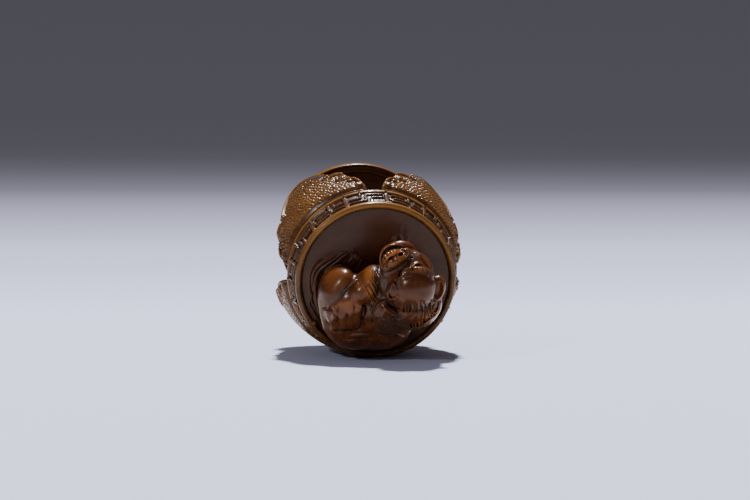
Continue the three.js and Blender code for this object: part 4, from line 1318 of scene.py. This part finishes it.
def paper(nt):
    n, L = nt.nodes.new, nt.links.new
    out = n("ShaderNodeOutputMaterial")
    bs = n("ShaderNodeBsdfPrincipled")
    # the paper looks cooler in the picture than what it throws back on the wood
    path = n("ShaderNodeLightPath")
    tint = n("ShaderNodeMix")
    tint.data_type = "RGBA"
    L(path.outputs["Is Camera Ray"], tint.inputs["Factor"])
    tint.inputs[6].default_value = (*FLOOR_BOUNCE, 1)
    tint.inputs[7].default_value = (*FLOOR_COLOR, 1)
    L(tint.outputs[2], bs.inputs["Base Color"])
    bs.inputs["Roughness"].default_value = 0.9
    bs.inputs["Specular IOR Level"].default_value = 0.2
    # painted light: away from the carving the paper turns into a glow, its painted brightness falling with distance
    # behind the carving
    glow = n("ShaderNodeEmission")
    tc = n("ShaderNodeTexCoord")
    sep = n("ShaderNodeSeparateXYZ")
    L(tc.outputs["Object"], sep.inputs[0])
    far = n("ShaderNodeMapRange")
    far.inputs["From Min"].default_value = 0.0
    far.inputs["From Max"].default_value = WALL_Y
    L(sep.outputs["Y"], far.inputs["Value"])
    tone = n("ShaderNodeValToRGB")
    while len(tone.color_ramp.elements) < len(floor_glow_tones):
        tone.color_ramp.elements.new(0.5)
    for el, (y, c) in zip(tone.color_ramp.elements, floor_glow_tones):
        el.position = y / WALL_Y
        el.color = (*c, 1)
    L(far.outputs[0], tone.inputs[0])
    L(tone.outputs[0], glow.inputs[0])
    mr = n("ShaderNodeMapRange")
    mr.interpolation_type = "SMOOTHSTEP"
    mr.inputs["From Min"].default_value = 0.05
    mr.inputs["From Max"].default_value = 0.22
    L(sep.outputs["Y"], mr.inputs["Value"])
    mix = n("ShaderNodeMixShader")
    L(mr.outputs[0], mix.inputs[0])
    L(bs.outputs[0], mix.inputs[1])
    L(glow.outputs[0], mix.inputs[2])
    L(mix.outputs[0], out.inputs[0])
    nz = n("ShaderNodeTexNoise")
    nz.inputs["Scale"].default_value = 1500
    b = n("ShaderNodeBump")
    b.inputs["Strength"].default_value = 0.05
    b.inputs["Distance"].default_value = 0.0002
    L(nz.outputs[0], b.inputs["Height"])
    L(b.outputs[0], bs.inputs["Normal"])


def backdrop(nt):
    n, L = nt.nodes.new, nt.links.new
    out = n("ShaderNodeOutputMaterial")
    # painted light: the backdrop is a glow, painted darker toward the top where the lamps' light falls off
    glow = n("ShaderNodeEmission")
    L(glow.outputs[0], out.inputs[0])
    tc = n("ShaderNodeTexCoord")
    sep = n("ShaderNodeSeparateXYZ")
    L(tc.outputs["Object"], sep.inputs[0])
    top = row_height(0)
    mr = n("ShaderNodeMapRange")
    mr.inputs["From Min"].default_value = 0.0
    mr.inputs["From Max"].default_value = top
    L(sep.outputs["Z"], mr.inputs["Value"])
    r = n("ShaderNodeValToRGB")
    stops = sorted([(min(1.0, max(0.0, row_height(y) / top)), c) for y, c in wall_glow_rows])
    stops[0] = (0.0, floor_glow_tones[-1][1])
    while len(r.color_ramp.elements) < len(stops):
        r.color_ramp.elements.new(0.5)
    for el, (at, c) in zip(r.color_ramp.elements, stops):
        el.position = at
        el.color = (*c, 1)
    L(mr.outputs[0], r.inputs[0])
    L(r.outputs[0], glow.inputs[0])


def sheet(name, corners, mat):
    me = bpy.data.meshes.new(name)
    me.from_pydata(corners, [], [(0, 1, 2, 3)])
    me.materials.append(mat)
    o = bpy.data.objects.new(name, me)
    bpy.context.scene.collection.objects.link(o)
    o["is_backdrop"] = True
    return o


FLOOR_COLOR = (0.61, 0.655, 0.90)
FLOOR_BOUNCE = (0.62, 0.60, 0.62)
sheet("floor", [(-2.5, -2.5, 0), (2.5, -2.5, 0), (2.5, WALL_Y, 0), (-2.5, WALL_Y, 0)], plain("paper", paper))
sheet("backdrop", [(-2.5, WALL_Y, 0), (2.5, WALL_Y, 0), (2.5, WALL_Y, 1.2), (-2.5, WALL_Y, 1.2)], plain("backdrop", backdrop))

world = bpy.data.worlds.new("room")
bpy.context.scene.world = world
world.use_nodes = True
bg = world.node_tree.nodes["Background"]
bg.inputs[0].default_value = (0.15, 0.14, 0.15, 1)
bg.inputs[1].default_value = 1.0


def area(name, at, aim, size, power, color=(1, 1, 1), size_y=None):
    d = bpy.data.lights.new(name, "AREA")
    d.energy = power
    d.color = color
    d.shape = "RECTANGLE" if size_y else "SQUARE"
    d.size = size
    if size_y:
        d.size_y = size_y
    o = bpy.data.objects.new(name, d)
    o.location = at
    o.rotation_euler = (Vector(aim) - Vector(at)).to_track_quat("-Z", "Y").to_euler()
    bpy.context.scene.collection.objects.link(o)
    return o


CENTRE = (0, 0, 0.014)
area("key_above", (0.14, 0.92, 2.38), CENTRE, 0.20, 150.0, (1.0, 0.99, 0.98))
area("left_front", (-1.3, -1.2, 1.0), CENTRE, 0.11, 8.5, (1.0, 0.99, 0.98))

end_lo, end_hi = [list(v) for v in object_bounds()]
say("frame", [round(1000 * (b - a), 2) for a, b in zip(start_lo, start_hi)], "visual", [round(1000 * (b - a), 2) for a, b in zip(end_lo, end_hi)])
